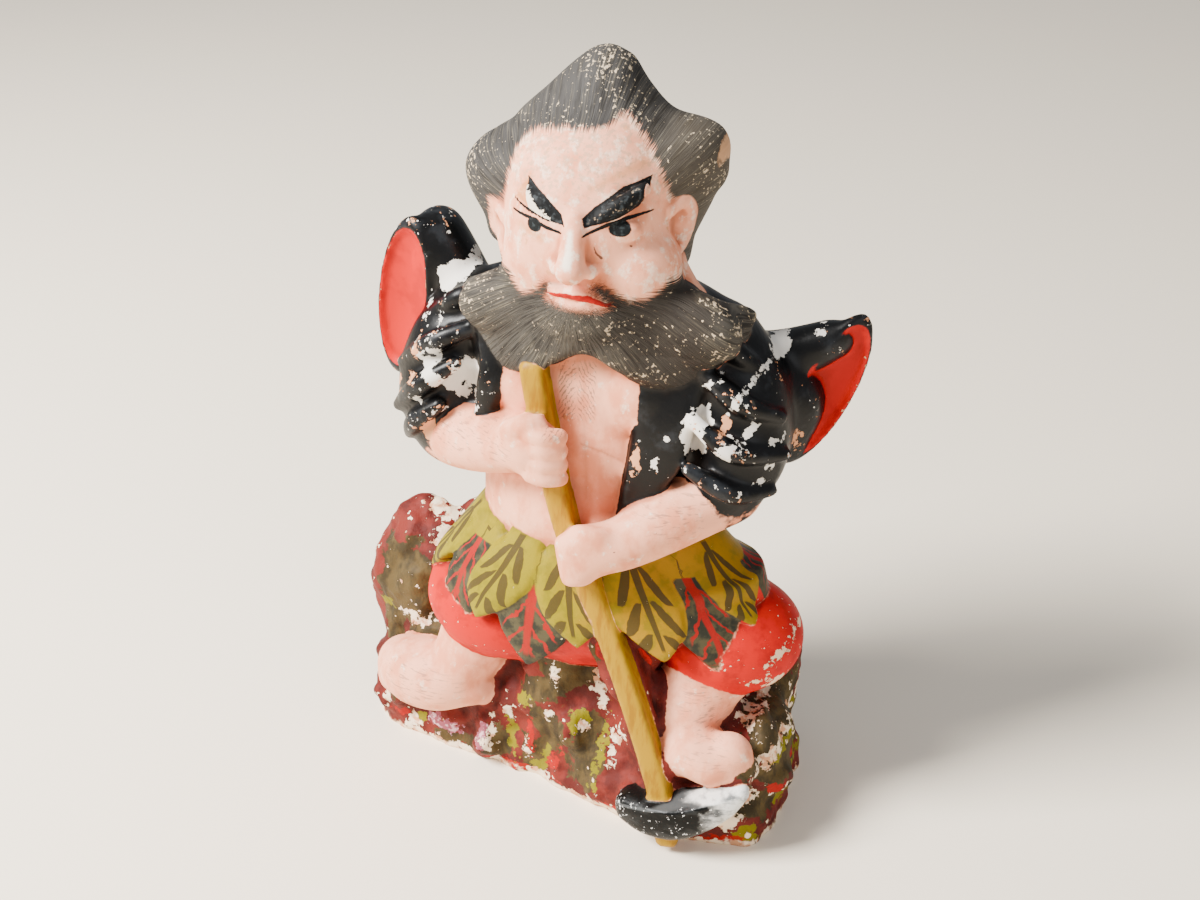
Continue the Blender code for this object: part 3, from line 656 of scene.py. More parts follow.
HAFT_ROWS = [
    (-10.8, -28, 151.5), (-8, -29, 136), (-4, -30.5, 117), (1, -32, 100), (8.8, -33.5, 82),
    (18.5, -37, 59), (28.5, -41, 32), (34, -44, 14), (35.5, -45, 5),
]
roll("haft", [(x, y, z, 3.5, 2.9) for x, y, z in HAFT_ROWS], squareness=9)
roll("rock", [(x, y + 5.5, z, 2.8, 5) for x, y, z in HAFT_ROWS[4:]])
roll("skin", [(x, y + 5.5, z, 2.8, 5) for x, y, z in HAFT_ROWS[:5]])
roll("rock", [(14, -26, 64, 10, 8), (20, -29, 50, 9, 8), (28, -32, 30, 9, 8), (34, -35, 12, 9, 8)])

streaks = speckle(2.2, 3, 51, (1, 1, 6))
haft_paint = mottled((158, 120, 0), (140, 98, 0), streaks, 0.44, 0.64)
haft_nicks = step(speckle(1.4, 4, 52, (1, 1, 2)), 0.74, 0.76)
haft_coat = (inside("haft", 0.1), over(haft_paint, (96, 70, 10), haft_nicks), 0.42, streaks * 0.04)

# Axe head
# The axe head lies on its side at the foot of the haft: a black poll, and a blade that turns to
# silver paint under the toes.

AXE_ROWS = [
    (23, -42, 13, 5, 5.2), (29, -43.5, 13, 6.4, 6), (36.6, -44, 14, 6.7, 6.5), (44, -43.5, 17, 5.9, 6),
    (52, -42.5, 22, 4.3, 4.5), (57, -41.5, 26, 2.3, 2.5),
]
roll("axe", AXE_ROWS, (0, 0, 1), 32, 3.4)
axe_edge = [(x, y - deep + 1.1, z + high - 1.2, 0.9, 1.0) for x, y, z, high, deep in AXE_ROWS[1:-1]]
roll("axe", axe_edge, (0, 0, 1), 12)

ledge = at_z - at_x * 0.31 - 9.2
silver = step(at_x + (speckle(5, 4, 61) - 0.5) * 14 - step(ledge, 0.5, -0.5) * 10, 36, 44)
axe_nicks = step(speckle(1.2, 4, 64) + ridge * 0.05, 0.7, 0.72)
axe_paint = layered(
    mottled((8, 9, 9), (34, 35, 35), speckle(3, 4, 62, (3, 3, 1)) + ridge * 0.05, 0.56, 0.72),
    ((96, 98, 98), step(abs(ledge), 0.6, 0.2) * 0.5),
    (mottled((222, 220, 214), (110, 112, 112), speckle(3, 4, 63, (3, 3, 1)), 0.48, 0.66), silver),
    ((226, 224, 220), axe_nicks * 0.8),
)
coats.append((inside("axe", 0.3), axe_paint, 0.36, axe_nicks * -0.15 + speckle(1.5, 3) * 0.15))

# Arms and fists
# Thick bare forearms come out of the sleeves and both fists close round the haft. The upper fist shows
# the steps of its fingers, and the lower one is a smooth mitt.

roll("arm", [
    (-45, -9, 119, 10, 10), (-40, -15, 120, 10.5, 10.5), (-30, -22, 123, 10, 10),
    (-20, -27, 126, 9, 9), (-12, -31, 129, 8, 7.5),
], (0, 0, 1), 32)
roll("arm", [
    (44, -14, 113, 9, 9), (36, -20, 111, 9.5, 9.5), (26, -28, 107, 9, 9), (17, -34, 103, 8, 8),
    (9, -37, 101, 7.5, 7.5),
], (0, 0, 1), 32)
lump("arm", (-11, -33, 130), (9, 7, 9.5), (0, 10, 0))
for k in range(4):
    z = 136.5 - 4.4 * k
    roll("fingers", [
        (-9, -37, z, 2.4, 2.6), (-4.5, -38, z - 0.2, 2.4, 2.6), (-0.4, -36, z - 0.5, 2.2, 2.4),
    ], (0, 0, 1), 24, 3)
roll("arm", [(-16, -36, 136, 3.2, 3), (-11, -37, 139, 3, 2.8), (-6.5, -35, 139.5, 2.6, 2.4)], (0, 0, 1))
lump("arm", (8, -38, 101), (9.5, 6.5, 8.5), (0, -18, 0))
for k in range(4):
    z = 105.5 - 3.9 * k
    roll("arm", [
        (11 - 0.9 * k, -41.2, z, 2.7, 2.7), (4.5 - 0.2 * k, -42, z - 0.5, 2.8, 2.7),
        (0.7 * k, -40, z - 1.5, 2.5, 2.2),
    ], (0, 0, 1), 20, 3)
roll("arm", [(13, -40, 108, 3, 2.8), (8, -41, 109, 2.8, 2.6), (4.5, -39.5, 108.5, 2.4, 2.2)], (0, 0, 1))

# Head
# A broad scowling head with full cheeks. Brows, lids, eyes and mouth are brushed on in black and red.

for place, radii in (
    ((0.6, -7, 199), (24.6, 20, 23)),
    ((0.4, -11, 190), (23.4, 21, 25)),
    ((3, -14, 176), (18, 17, 15)),
    ((-9, -17, 181), (13.5, 12, 13)),
    ((14.5, -17, 181), (13.5, 12, 13)),
):
    lump("skin", place, radii)
roll("skin", [(1, -4, 178, 14, 12), (2, -3, 164, 15, 14)])
roll("face", [(2.5, -29.5, 198, 3.0, 2.6), (2.5, -32.5, 190, 3.4, 3), (2.5, -34.8, 185, 4.2, 3.8)])
for side, ear_x, ear_y, ear_z in ((-1, -23.6, -11, 184.6), (1, 25.6, -7.5, 190.5)):
    lump("face", (2.5 + side * 4.4, -31.6, 184.2), (2.2, 2.5, 2.2))
    lump("face", (2.5 + side * 11, -25.4, 194.2), (5.6, 3.4, 3.2), (0, side * -8, 0))
    lump("ear", (ear_x - side * 1.5, ear_y, ear_z), (3.2, 5.2, 8), (0, side * 8, side * -30))
    rim = [(-2, -6, 5.6), (0.8, -3, 7.6), (2, 0, 2.4), (0.6, -1, -4), (-1.4, -4, -7.4)]
    rows = [(ear_x + side * out, ear_y + back, ear_z + up, 1.6, 1.8) for out, back, up in rim]
    roll("ear", rows, (1, 0, 0), 16)
roll("face", [
    (-1.5, -28.8, 196.8, 1.8, 2.2), (-7.5, -27.6, 199.8, 2.6, 2.4), (-13, -24.6, 201.6, 2.2, 2),
], (0, 0, 1), 20)
roll("face", [
    (6.5, -28.8, 196.4, 1.8, 2.2), (13, -27.2, 200.6, 2.6, 2.2), (19, -22.8, 205, 2, 1.6),
], (0, 0, 1), 20)
roll("skin", [(15, -9, 186, 7, 8), (20.5, -8, 176, 7.5, 7), (26, -7, 168, 7, 5)])
roll("face", [
    (-4.5, -29.6, 176.6, 1.2, 1.5), (3, -32, 177.6, 1.6, 1.8), (10.5, -29.6, 175.4, 1.2, 1.5),
], (0, 0, 1), 16)
roll("face", [
    (-2, -29.8, 173.8, 1.4, 1.6), (3.5, -31.4, 173.6, 1.8, 1.9), (8.5, -29.8, 173, 1.4, 1.6),
], (0, 0, 1), 16)

plane = Tone.made("CombineXYZ", {}, {"X": at_x, "Y": at_z})
facing = step(at_y, -10, -14)


def stroke(points):
    """How far each place is outside a brush stroke, drawn on the face as x, z and half thickness."""
    far = 99.0
    for (ax, az, thick_a), (bx, bz, thick_b) in zip(points, points[1:]):
        run = Vector((bx - ax, bz - az, 0))
        off = vector_sum("SUBTRACT", {0: plane, 1: (ax, az, 0)})
        dot = vector_sum("DOT_PRODUCT", {0: off, 1: run / run.length_squared}, "Value")
        share = Tone.made("Clamp", {}, {0: dot})
        foot = vector_sum("SCALE", {0: tuple(run), "Scale": share})
        away = vector_sum("DISTANCE", {0: off, 1: foot}, "Value")
        far = least(away - (share * (thick_b - thick_a) + thick_a), far)
    return far


def patch(points):
    """How far each place is outside a brushed patch, drawn on the face as its corners' x and z in order."""
    far = -99.0
    middle = Vector([sum(p[k] for p in points) / len(points) for k in (0, 1)])
    for (ax, az), (bx, bz) in zip(points, points[1:] + points[:1]):
        out = Vector((bz - az, ax - bx)).normalized()
        if out.dot(Vector((ax, az)) - middle) < 0:
            out.negate()
        far = most(at_x * out.x + at_z * out.y - out.dot(Vector((ax, az))), far)
    return far


def brushed(far, soft=0.18, wander=0.25):
    return step(far + (speckle(0.8, 2, 71) - 0.5) * (4 * wander), soft, -soft) * facing


def stroked(under, top, points, soft, wander=0.25, share=1.0):
    """Skin with one brush stroke laid on it."""
    return over(under, top, brushed(stroke(points), soft, wander) * share)


ink = (10, 11, 12)
tan = (200, 128, 74)
forehead_worn = step(speckle(1.4, 4, 75), 0.5, 0.6) * step(at_z, 197, 206)
flesh = over(flesh, (186, 150, 122), forehead_worn * 0.6)
flesh = stroked(flesh, tan, [(-13, 193.4, 1), (-7, 191.6, 1.2)], 1.2, share=0.6)
flesh = stroked(flesh, tan, [(6, 205, 0.6), (17, 210, 1.4)], 1.4, share=0.55)
flesh = over(flesh, tan, brushed(patch([(-16, 199.6), (-12, 206), (-9, 199)]), 0.6) * 0.75)
# a painted highlight: a white stroke down the bridge of the nose
flesh = stroked(flesh, (250, 236, 214), [(2.2, 195, 0.6), (2.5, 187.5, 1.2)], 0.7, share=0.9)
flesh = stroked(flesh, (170, 146, 128), [(-4.6, 178.3, 0.6), (-0.6, 178.8, 0.4)], 0.8, share=0.6)
brow = over(ink, (44, 48, 50), step(speckle(1.6, 4, 72), 0.5, 0.66))
brow_worn = step(speckle(1.1, 5, 73), 0.6, 0.68)
right_brow = patch([
    (4.7, 198.3), (5.4, 195.8), (13.5, 198.3), (17.4, 200.1),
    (19.2, 203), (19.5, 207), (13.4, 205.1), (7.3, 200.8),
])
right_paint = over(brow, (170, 146, 120), brow_worn * 0.6)
flesh = over(flesh, right_paint, brushed(right_brow, 0.15, 0.12))
flesh = over(flesh, ink, brushed(abs(right_brow + 0.3) - 0.3, 0.12, 0.08))
left_brow = patch([(-12.4, 205.5), (-6.4, 202.5), (-1.3, 198.8), (0.2, 195.9), (-4.2, 196.5), (-11, 198.4)])
below_edge = (at_x + 12.4) * -0.609 - (at_z - 205.5) * 0.793
left_worn = speckle(1.3, 4, 74) + (below_edge - 1.6) * 0.22 + step(at_x, -8.5, -12) * 0.12
left_paint = over(brow, (244, 228, 206), step(left_worn, 0.5, 0.57) * 0.9)
flesh = over(flesh, left_paint, brushed(left_brow, 0.15, 0.12))
# the brushed lines round the brows and the lids, each with how unsteady the hand was
INK_LINES = [
    ([(-12.3, 205.3, 0.2), (-6.4, 202.3, 0.3), (-1.4, 198.6, 0.35), (0, 196, 0.2)], 0.1),
    ([(-16, 199.2, 0.25), (-11, 198.1, 0.45), (-4.2, 196.5, 0.2)], 0.25),
    ([(-16.3, 196.4, 0.3), (-10, 196.2, 0.5), (-5.2, 194.7, 0.5), (-0.8, 194.0, 0.3)], 0.1),
    ([(5.3, 193.9, 0.3), (10.9, 196.6, 0.6), (15.3, 197.9, 0.55), (20.3, 198.2, 0.2)], 0.1),
]
for line, wander in INK_LINES:
    flesh = stroked(flesh, ink, line, 0.12, wander)
eye_ink = mottled((14, 17, 18), (38, 44, 46), speckle(1.2, 2), 0.5, 0.65)


def pupil(x, z, wide, high):
    """How far each place is outside an oval on the face, in parts of its size."""
    across, along = (at_x - x) / wide, (at_z - z) / high
    return Tone.sum("SQRT", across * across + along * along) - 1


eyes = least(pupil(-8.8, 194.7, 2.2, 1.9), pupil(14, 195.4, 2.9, 2.0))
flesh = over(flesh, eye_ink, brushed(eyes * 2, 0.12, 0.1))
flesh = stroked(flesh, ink, [(7.8, 190.8, 0.1), (8.2, 189.2, 0.2), (9.6, 187.6, 0.35)], 0.1, 0.1, 0.8)
flesh = stroked(flesh, ink, [(16.4, 190.4, 0.25), (16.6, 190.3, 0.25)], 0.1, 0.1, 0.8)
vermilion = mottled((178, 14, 6), (150, 12, 8), speckle(2, 2), 0.45, 0.6)
MOUTH = [(-5.9, 175.8, 0.5), (0.8, 176.9, 0.95), (6.5, 176.7, 1.05), (11.3, 174.4, 0.7)]
flesh = stroked(flesh, vermilion, MOUTH, 0.15, 0.15)
# brushed chest hair, and painted shade along the creases under the breasts and down the belly
fir = abs(part_of((at_z + abs(at_x - 1) * 1.5 + (speckle(4, 3, 76) - 0.5) * 6) * 0.5) - 0.5)
chest_hair = step(fir + (speckle(1, 4, 77) - 0.5) * 1.1, 0.16, 0.08)
chest_hair = chest_hair * step(abs(abs(at_x - 1) - 2.8), 3, 2) * step(abs(at_z - 145), 10, 7)
flesh = over(flesh, (104, 82, 72), chest_hair * facing * 0.6)
crease = (176, 98, 66)
flesh = stroked(flesh, crease, [(2.6, 128.6, 0.2), (8, 127, 0.3), (15.6, 123.4, 0.2)], 0.7, share=0.6)
flesh = stroked(flesh, crease, [(3, 150, 0.2), (3.4, 130, 0.4), (4.4, 112, 0.3)], 1.3, share=0.4)

# Beard
# A broad grey-black beard spreads from the cheeks and chin over both shoulders in two lobes, with its
# lower edge proud of the chest.

BEARD_OUTLINE = [
    (-35, 170), (-34, 160), (-29, 153), (-20, 149), (-9, 151.5), (4, 158), (14, 153), (26, 149.5),
    (38, 154), (45, 161), (48, 169), (38, 173), (26, 177), (14, 176), (3, 172), (-9, 176), (-22, 177),
]


def beard_place(u, v, w):
    reach = (u - 3.5) / 38
    return u, -24 + 10.5 * reach * reach - 2.5 * (172 - v) / 24 - w, v


pillow("beard", smooth_outline(BEARD_OUTLINE), 5.5, beard_place, 3.5)
lump("beard", (3.5, -21, 168), (17, 12, 10))
lump("beard", (-14, -16, 166), (22, 10.5, 11), (0, 0, 16))
lump("beard", (23, -16, 165), (24, 10.5, 12), (0, 0, -14))


def combed(middle_x, middle_z, droop, fine, seed):
    """Cloudy noise drawn into fine strokes that run out from a place on the face and droop."""
    off_x = at_x - middle_x
    off_z = at_z - middle_z + off_x * off_x * droop
    far = Tone.sum("SQRT", off_x * off_x + off_z * off_z) + 0.5
    turn = {"X": off_x / far * fine, "Y": off_z / far * fine, "Z": (far + at_y * 0.4) * 0.09}
    return speckle(1, 2, seed=seed, where=Tone.made("CombineXYZ", {}, turn))


beard_strokes, beard_fine = combed(2.5, 176, 0.011, 32, 81), combed(2.5, 176, 0.011, 105, 82)
beard_specks = speckle(1.2, 4, 84) + ridge * 0.04 + (beard_fine - 0.5) * 0.3
beard_specks = beard_specks + (speckle(12, 2, 85) - 0.5) * 0.25
beard_paint = layered(
    mottled((68, 64, 58), (36, 33, 30), beard_strokes * 0.55 + beard_fine * 0.45, 0.44, 0.6),
    ((124, 115, 98), step(beard_fine, 0.5, 0.66) * step(speckle(9, 3, 83) + ridge * 0.08, 0.42, 0.64) * 0.7),
    ((36, 30, 25), step(at_x, 6, 22) * step(at_x, 44, 34) * 0.7),
    ((214, 190, 156), step(beard_specks, 0.66, 0.71) * 0.8),
)
beard_mask = inside("beard", 0.35) * step(seen("face_edge") + (beard_fine - 0.5) * 8, 0.7, -0.7)
beard_coat = (beard_mask, beard_paint, 0.62, beard_fine * 0.3 + beard_strokes * 0.2)

# Hair
# Wild grey-black hair in three peaks round the head, full down to the nape.

HAIR_OUTLINE = [
    (3.5, 234.8), (-2, 233.8), (-8.6, 228.7), (-15.4, 222.2), (-22.4, 215.9), (-26.5, 211), (-34, 207),
    (-39, 200.5), (-38.5, 193.5), (-34, 185), (-29, 176), (2, 170), (23, 173), (27, 184), (31, 193),
    (34.5, 202), (36, 209), (34, 214.3), (29, 216.7), (20, 218.7), (13, 225.8), (8.5, 232.6),
]


def hair_place(u, v, w):
    high = max(0.0, (v - 206) / 30)
    return u, 1.5 + w * (0.70 if w > 0 else 1.0) * (1 - 0.35 * high), v


pillow("hair", smooth_outline(HAIR_OUTLINE), 22, hair_place, 2.0, 18)
roll("hair", [(1.5, -9, 207, 23, 12), (1.5, -6, 216, 17, 10), (2, -2, 224, 9, 7)], sides=36)
for side in (-1, 1):
    roll("hair", [
        (1.5 + side * 9, -4, 214, 8, 11), (1.5 + side * 19, -1, 208, 8, 10),
        (1.5 + side * 27, 1.5, 203, 8, 7),
    ], (0, 0, 1), 32)

hair_strokes, hair_fine = combed(2, 184, 0, 26, 91), combed(2, 184, 0, 95, 92)
marks["hair_worn"] = [
    (9, -13, 223, 4, 4), (4, -8, 231, 4, 2), (-35, 0, 200, 3, 6), (13, -13, 220, 3, 3),
    (30, 0, 204, 4, 4), (-6, -17, 219, 4, 1.5),
]
marks["hair_tan"] = [(35.5, 0, 211, 1.8, 4.2, -15), (12, -26, 219.5, 2.4, 2.2)]
hair_near = step(seen("hair_worn"), 5, -1)
hair_specks = speckle(1.1, 5, 93) + ridge * 0.03 + (hair_fine - 0.5) * 0.3 + hair_near * 0.07
hair_paint = layered(
    mottled((61, 59, 57), (40, 38, 36), hair_strokes * 0.5 + hair_fine * 0.5, 0.44, 0.6),
    ((92, 80, 62), step(at_x, 10, 28) * 0.3),
    ((120, 113, 100), step(hair_fine, 0.5, 0.7) * 0.45),
    ((214, 192, 160), step(hair_specks, 0.67, 0.72) * 0.8),
    ((204, 154, 112), inside("hair_tan", 0.5, 0.4) * 0.8),
)
hair_edge = step(seen("face_edge") + (hair_fine - 0.5) * 5, 0.7, -0.7)
hair_mask = inside("hair", 0.3) * hair_edge * step(seen("ear"), 0.3, 0.9)
coats.append((hair_mask, hair_paint, 0.62, hair_fine * 0.25 + hair_strokes * 0.12))
coats.append(beard_coat)
coats.append(haft_coat)

# Fired body
# All the clay is fused into one closed body, rubbed smooth where it was soft, left rugged on the rock
# and cut flat below. Each point then learns how far it is from every kind of clay, for the paint.

GRAIN = 0.75
MOST_TRIANGLES = 190000
CRISP = ("leaves", "haft", "axe", "face", "ear", "fingers", "lining")
RUBS = 36
PAINTED = ("rock", "skin", "trousers", "leaves", "robe", "haft", "axe", "beard", "hair")
FURTHEST = 6.0


def put(name, data):
    """An object of the given data, in the scene."""
    made = bpy.data.objects.new(name, data)
    bpy.context.scene.collection.objects.link(made)
    return made


def joined(kinds):
    """One form of all the clay of the given kinds."""
    whole = bmesh.new()
    for kind in kinds:
        mesh = bpy.data.meshes.new("form")
        clay[kind].to_mesh(mesh)
        whole.from_mesh(mesh)
        bpy.data.meshes.remove(mesh)
    return whole


def gap(places, form, reach):
    """How far each place is from a form, up to a reach."""
    tree = BVHTree.FromBMesh(form)
    found = (tree.find_nearest(place, reach)[3] for place in places)
    return np.array([reach if far is None else far for far in found])


def read(mesh):
    """A mesh's places and normals as arrays, and its edges as two lists of ends."""
    places, normals = np.empty(len(mesh.vertices) * 3), np.empty(len(mesh.vertices) * 3)
    ends = np.empty(len(mesh.edges) * 2, dtype=int)
    mesh.vertices.foreach_get("co", places)
    mesh.vertex_normals.foreach_get("vector", normals)
    mesh.edges.foreach_get("vertices", ends)
    return places.reshape(-1, 3), normals.reshape(-1, 3), ends.reshape(-1, 2)


def rubbed(places, ends, shares, times):
    """Places moved towards their neighbours' middle, by their own share, a number of times."""
    count = np.bincount(ends.ravel(), minlength=len(places))
    for _ in range(times):
        sums = [
            np.bincount(ends[:, 0], places[ends[:, 1], k], len(places))
            + np.bincount(ends[:, 1], places[ends[:, 0], k], len(places))
            for k in range(3)
        ]
        places = places + (np.stack(sums, axis=1) / count[:, None] - places) * shares[:, None]
    return places


def ramp(values, low, high):
    share = np.clip((values - low) / (high - low), 0, 1)
    return share * share * (3 - 2 * share)


def applied(doll):
    """The doll's mesh with its one modifier worked into it."""
    mesh = bpy.data.meshes.new_from_object(doll.evaluated_get(bpy.context.evaluated_depsgraph_get()))
    doll.modifiers.clear()
    doll.data = mesh
    return mesh


whole = joined([kind for kind in clay if kind != "lining"])
mesh = bpy.data.meshes.new("painted_doll")
whole.to_mesh(mesh)
whole.free()
doll = put("painted_doll", mesh)
fuse = doll.modifiers.new("fuse", "REMESH")
fuse.mode = "VOXEL"
fuse.voxel_size = GRAIN
mesh = applied(doll)
places, normals, ends = read(mesh)
vectors = [Vector(place) for place in places]
soft = ramp(gap(vectors, joined(CRISP), 3), 0.6, 2.8)
soft *= 0.3 + 0.7 * ramp(gap(vectors, clay["hair"], 2), 0, 2)
soft *= 0.12 + 0.88 * ramp(gap(vectors, clay["folds"], 4), 0.5, 4)
rock_share = 1 - ramp(gap(vectors, clay["rock"], 2), 0.2, 1.2)
figure = joined([kind for kind in clay if kind not in ("rock", "lining")])
rock_share *= ramp(gap(vectors, figure, 3), 0.8, 2.6)
places = rubbed(places, ends, np.full(len(places), 0.5), 2)
places = rubbed(places, ends, soft * 0.5, RUBS)
crags = np.array([
    noise.noise(v / 11) * 1.5 + 0.4 * noise.noise(v / 4 + Vector((9, 4, 2))) if r > 0 else 0
    for v, r in zip(vectors, rock_share)
])
places += normals * (rock_share * (2.0 * crags - 0.8))[:, None]
for k in (0, 1):
    places[:, k] = np.clip(places[:, k], cad_box[0][k] * 1000, cad_box[1][k] * 1000)
mesh.vertices.foreach_set("co", places.ravel())
mesh.update()
mesh.calc_loop_triangles()
thin = doll.modifiers.new("thin", "DECIMATE")
thin.use_collapse_triangulate = True
thin.ratio = min(1.0, MOST_TRIANGLES / len(mesh.loop_triangles))
mesh = applied(doll)
form = bmesh.new()
form.from_mesh(mesh)
everything = [*form.verts, *form.edges, *form.faces]
cut = bmesh.ops.bisect_plane(form, geom=everything, plane_no=(0, 0, -1), clear_outer=True)["geom_cut"]
bmesh.ops.contextual_create(form, geom=[item for item in cut if isinstance(item, bmesh.types.BMEdge)])
bmesh.ops.triangulate(form, faces=[face for face in form.faces if len(face.verts) > 3])
form.to_mesh(mesh)
form.free()
body = mesh

places, normals, ends = read(mesh)
vectors = [Vector(place) for place in places]
far = {kind: gap(vectors, clay[kind], FURTHEST) for kind in clay}
far["skin"] = np.minimum.reduce([far[kind] for kind in ("skin", "face", "ear", "fingers", "arm")])
far["robe"] = np.minimum(far["robe"], far["folds"])
fields = {}
for kind in PAINTED:
    fields[kind] = far[kind] - np.minimum.reduce([far[other] for other in PAINTED if other != kind])
fields["lining"] = far["lining"] - 0.7
east, north, up = places.T
for name, spots in marks.items():
    nearest = np.full(len(places), FURTHEST)
    deep = 0.02 if name in ("olive", "lime", "scarlet", "mauve_sheen", "rock_chip") else 0.12
    for px, py, pz, wide, high, *leans in spots:
        lean = math.radians(sum(leans))
        u = (east - px) * math.cos(lean) + (up - pz) * math.sin(lean)
        v = (up - pz) * math.cos(lean) - (east - px) * math.sin(lean)
        reach = np.sqrt((u / wide) ** 2 + (v / high) ** 2 + (deep * (north - py)) ** 2)
        nearest = np.minimum(nearest, (reach - 1) * min(wide, high))
    fields[name] = nearest


def outside(outline, u, v):
    """How far places are outside a closed outline, and below zero inside it."""
    nearest, crossings = np.full(len(u), 99.0), np.zeros(len(u), dtype=bool)
    for (au, av), (bu, bv) in zip(outline, outline[1:] + outline[:1]):
        run, climb = bu - au, bv - av
        share = np.clip(((u - au) * run + (v - av) * climb) / (run**2 + climb**2), 0, 1)
        nearest = np.minimum(nearest, np.hypot(u - au - share * run, v - av - share * climb))
        crossings ^= ((av > v) != (bv > v)) & (u < run * (v - av) / (climb + 1e-9) + au)
    return np.where(crossings, -nearest, nearest)


BARE_FACE = [
    (-22.4, 195), (-20.7, 201.3), (-19.3, 206.7), (-18.5, 210.2), (-15.8, 213.9), (-10.6, 216.3),
    (-3.3, 217.4), (3.6, 217.7), (8.2, 218.7), (10, 221), (13.2, 219), (15.9, 216.1), (18.6, 212.7),
    (20.3, 209.7), (22.2, 205.3), (23.5, 201.7), (26, 196), (29, 191), (29, 184), (28.6, 179),
    (27.4, 180), (26.4, 181), (24.9, 179.2), (21.2, 176), (16.7, 175.4), (12.1, 177.6), (8.3, 180.1),
    (7.1, 178.5), (9.4, 177), (12, 174), (10.2, 172.9), (7, 172.8), (0.1, 173), (-6.3, 173.2),
    (-6.9, 174.4), (-5.6, 176.9), (-6.2, 178.7), (-10, 174.8), (-14.3, 173.1), (-16.4, 175.8),
    (-18.5, 179), (-24, 178), (-30, 184), (-28, 195),
]
# the robe's two front edges on the chest, as x and z of their corners
LAPELS = [
    [
        (20, 160), (19.1, 150), (19, 144), (18.6, 136), (16, 129.5),
        (15.6, 122), (12.8, 105), (20, 106), (32, 112), (36, 160),
    ],
    [(-22, 160), (-20.4, 149.3), (-20.9, 144.5), (-22.6, 139), (-23, 133), (-34, 133), (-40, 160)],
]


def claim(kind, *limits):
    """Gives a kind of clay all the places where none of the limits is above zero."""
    fields[kind] = np.minimum(fields[kind], np.maximum.reduce(limits))


bare = outside(BARE_FACE, east, up) + np.clip(north + 9, 0, 8) + np.clip(north * 6, 0, 40)
fields["face_edge"] = -bare
fields["ear"] = far["ear"]
claim("hair", (199 - up) * 0.7, fields["skin"] - 1.5)
claim("beard", 167 - up, up - 184, north + 14, fields["skin"] - 1.5)
# no trousers in the fork between the legs, where the rock shows
fork = np.maximum(np.abs(east - 16) - 10.5, up - 71)
fields["trousers"] = np.maximum(fields["trousers"], -fork)
claim("rock", fork)
# round the back, hair covers the head, the robe covers the body down to the waist and rock the rest
claim("hair", 174 - up, 3 - north, np.abs(east) - 36)
claim("robe", 82 - up, up - 178, 3 - north, 0.6 - far["leaves"])
claim("rock", up - 84, 3 - north, 0.6 - far["leaves"])
for lapel in LAPELS:
    claim("robe", outside(lapel, east, up), north + 14, 2 - far["arm"], 1 - far["haft"])
for layer, leaves_here in (("light", LIGHT_LEAVES), ("dark", DARK_LEAVES)):
    middle_x, middle_y, wide, deep = skirt_at(up)
    turn = np.degrees(np.arctan2((east - middle_x) / wide, (middle_y - north) / deep))
    nearest, down, across = np.full(len(places), FURTHEST), np.zeros(len(places)), np.zeros(len(places))
    for top, tip, low, half in leaves_here:
        share = (LEAF_TOP - up) / (LEAF_TOP - low)
        off = (turn - mix(top, tip, share) + 180) % 360 - 180
        room = np.interp(share, *zip(*LEAF_HALF)) * half * (1.0 if layer == "dark" else 1.1)
        beside = (np.abs(off) - room) * np.radians(1) * (wide + deep) / 2
        reach = np.maximum(beside, (share - 1) * (LEAF_TOP - low))
        best = reach < nearest
        nearest[best], down[best], across[best] = reach[best], share[best], off[best] / half
    fields[layer], fields[layer + "_down"], fields[layer + "_across"] = nearest, down, across
fields["light"] = np.minimum(fields["light"], 88 - up)
bulge = rubbed(places, ends, np.full(len(places), 0.5), 24) - places
fields["ridge"] = -np.einsum("ij,ij->i", bulge, normals) / 0.35
for name, values in fields.items():
    carried = body.attributes.new(name, "FLOAT", "POINT")
    carried.data.foreach_set("value", np.clip(values, -FURTHEST, FURTHEST).astype(np.float32))

# Placing
# The finished doll is put into the frame's metres as one painted piece in place of the plain solid.

body.transform(Matrix.Scale(0.001, 4))
body.update()
for polygon in body.polygons:
    polygon.use_smooth = True
shader = paint.node_tree.nodes["Principled BSDF"]
shader.inputs["Specular IOR Level"].default_value = 0.12
shader.inputs["Coat Roughness"].default_value = 0.3
tone, rough, relief = flesh, flesh_rough, flesh_relief
for mask, top, top_rough, top_relief in coats:
    tone = over(tone, top, mask)
    rough = rough + (top_rough - rough) * mask
    relief = relief + (top_relief - relief) * mask
# painted shade: a brown darkening in the deepest creases all over the doll
crease_shaded = over(tone, (36, 22, 14), step(ridge, -0.5, -2.5) * 0.35)
height = Tone.made("Bump", {}, {"Strength": 1.0, "Distance": 0.001, "Height": relief})
finish = {"Base Color": crease_shaded, "Roughness": rough, "Coat Weight": gloss, "Normal": height}
for socket, value in finish.items():
    paint.node_tree.links.new(value.socket, shader.inputs[socket])
body.materials.append(paint)
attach(doll, "root")
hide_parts("clay_doll")
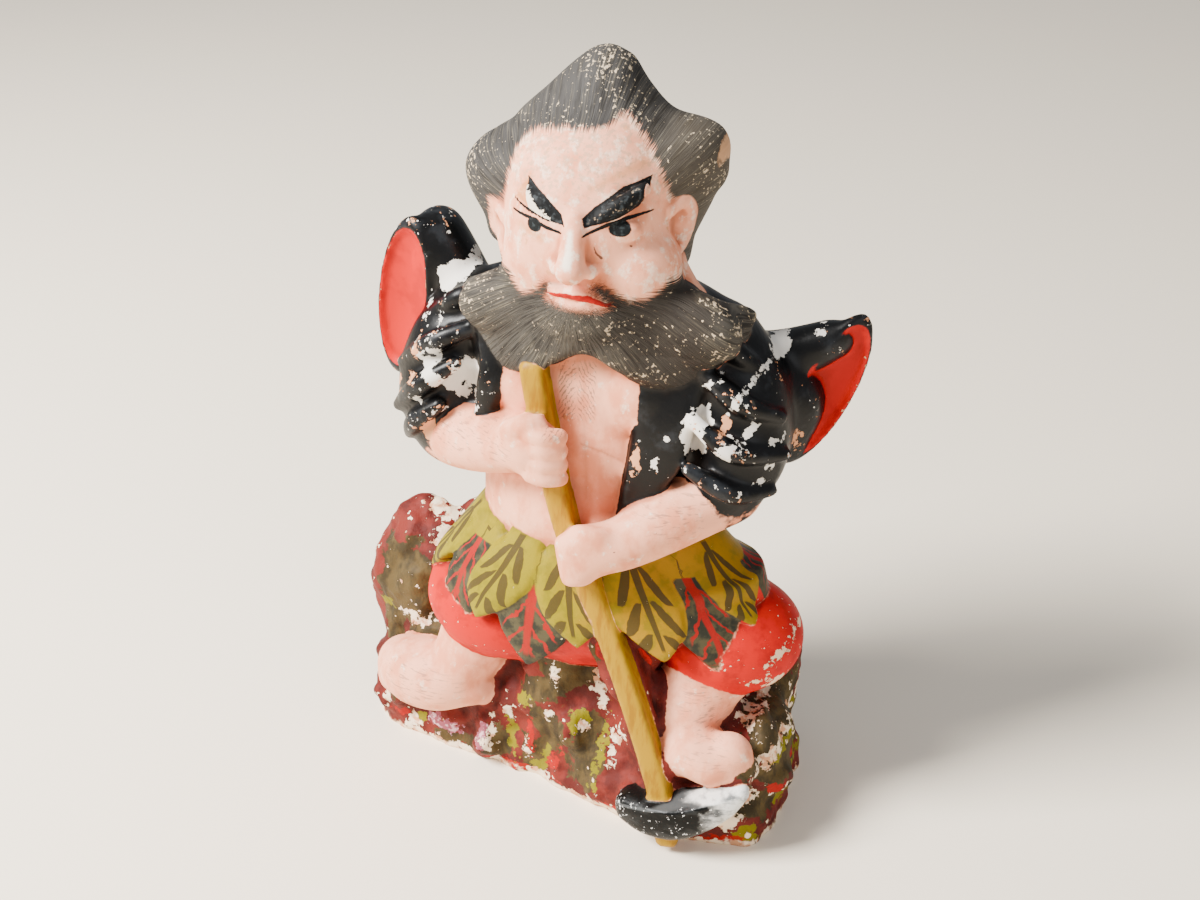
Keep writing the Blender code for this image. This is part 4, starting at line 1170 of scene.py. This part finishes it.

# Table and studio light
# The doll stands on a plain pale floor, with a broad soft light from the front left and a paler fill.

floor_form = bmesh.new()
bmesh.ops.create_grid(floor_form, x_segments=2, y_segments=2, size=1.6)
floor_mesh = bpy.data.meshes.new("pale_floor")
floor_form.to_mesh(floor_mesh)
floor_form.free()
floor = put("pale_floor", floor_mesh)
floor_paint = bpy.data.materials.new("pale table")
floor_paint.use_nodes = True
floor_shader = floor_paint.node_tree.nodes["Principled BSDF"]
floor_shader.inputs["Base Color"].default_value = (0.93, 0.82, 0.66, 1)
floor_shader.inputs["Roughness"].default_value = 0.6
floor_mesh.materials.append(floor_paint)


def soft_light(name, place, size, power, colour):
    """A square studio light, turned to the middle of the doll."""
    light = bpy.data.lights.new(name, "AREA")
    light.size = size
    light.energy = power
    light.color = colour
    lamp = put(name, light)
    lamp.location = place
    lamp.rotation_euler = (Vector((0, 0, 0.1)) - Vector(place)).to_track_quat("-Z", "Y").to_euler()


soft_light("key", (-0.75, -0.5, 0.9), 0.4, 66, (1.0, 0.98, 0.95))
soft_light("fill", (0.9, -0.9, 0.6), 0.9, 5, (0.93, 0.96, 1.0))
world = bpy.data.worlds.new("studio")
world.use_nodes = True
background = world.node_tree.nodes["Background"]
background.inputs["Color"].default_value = (0.86, 0.89, 0.94, 1)
background.inputs["Strength"].default_value = 0.55
bpy.context.scene.world = world

# Camera
# It looks down at the doll by 30 degrees from a little to its right, from about 45 cm away.

TURN, RISE, AWAY = math.radians(17), math.radians(30), 0.450
LENS_PIXELS, PICTURE_WIDTH, FILM = 1485, 1200, 36
back = Vector((math.sin(TURN) * math.cos(RISE), -math.cos(TURN) * math.cos(RISE), math.sin(RISE)))
camera = put("camera", bpy.data.cameras.new("camera"))
camera.location = Vector((0, 0, 0.112)) + back * AWAY
camera.rotation_euler = (-back).to_track_quat("-Z", "Y").to_euler()
camera.data.sensor_width = FILM
camera.data.lens = LENS_PIXELS / PICTURE_WIDTH * FILM
camera.data.clip_start = 0.01
bpy.context.scene.camera = camera
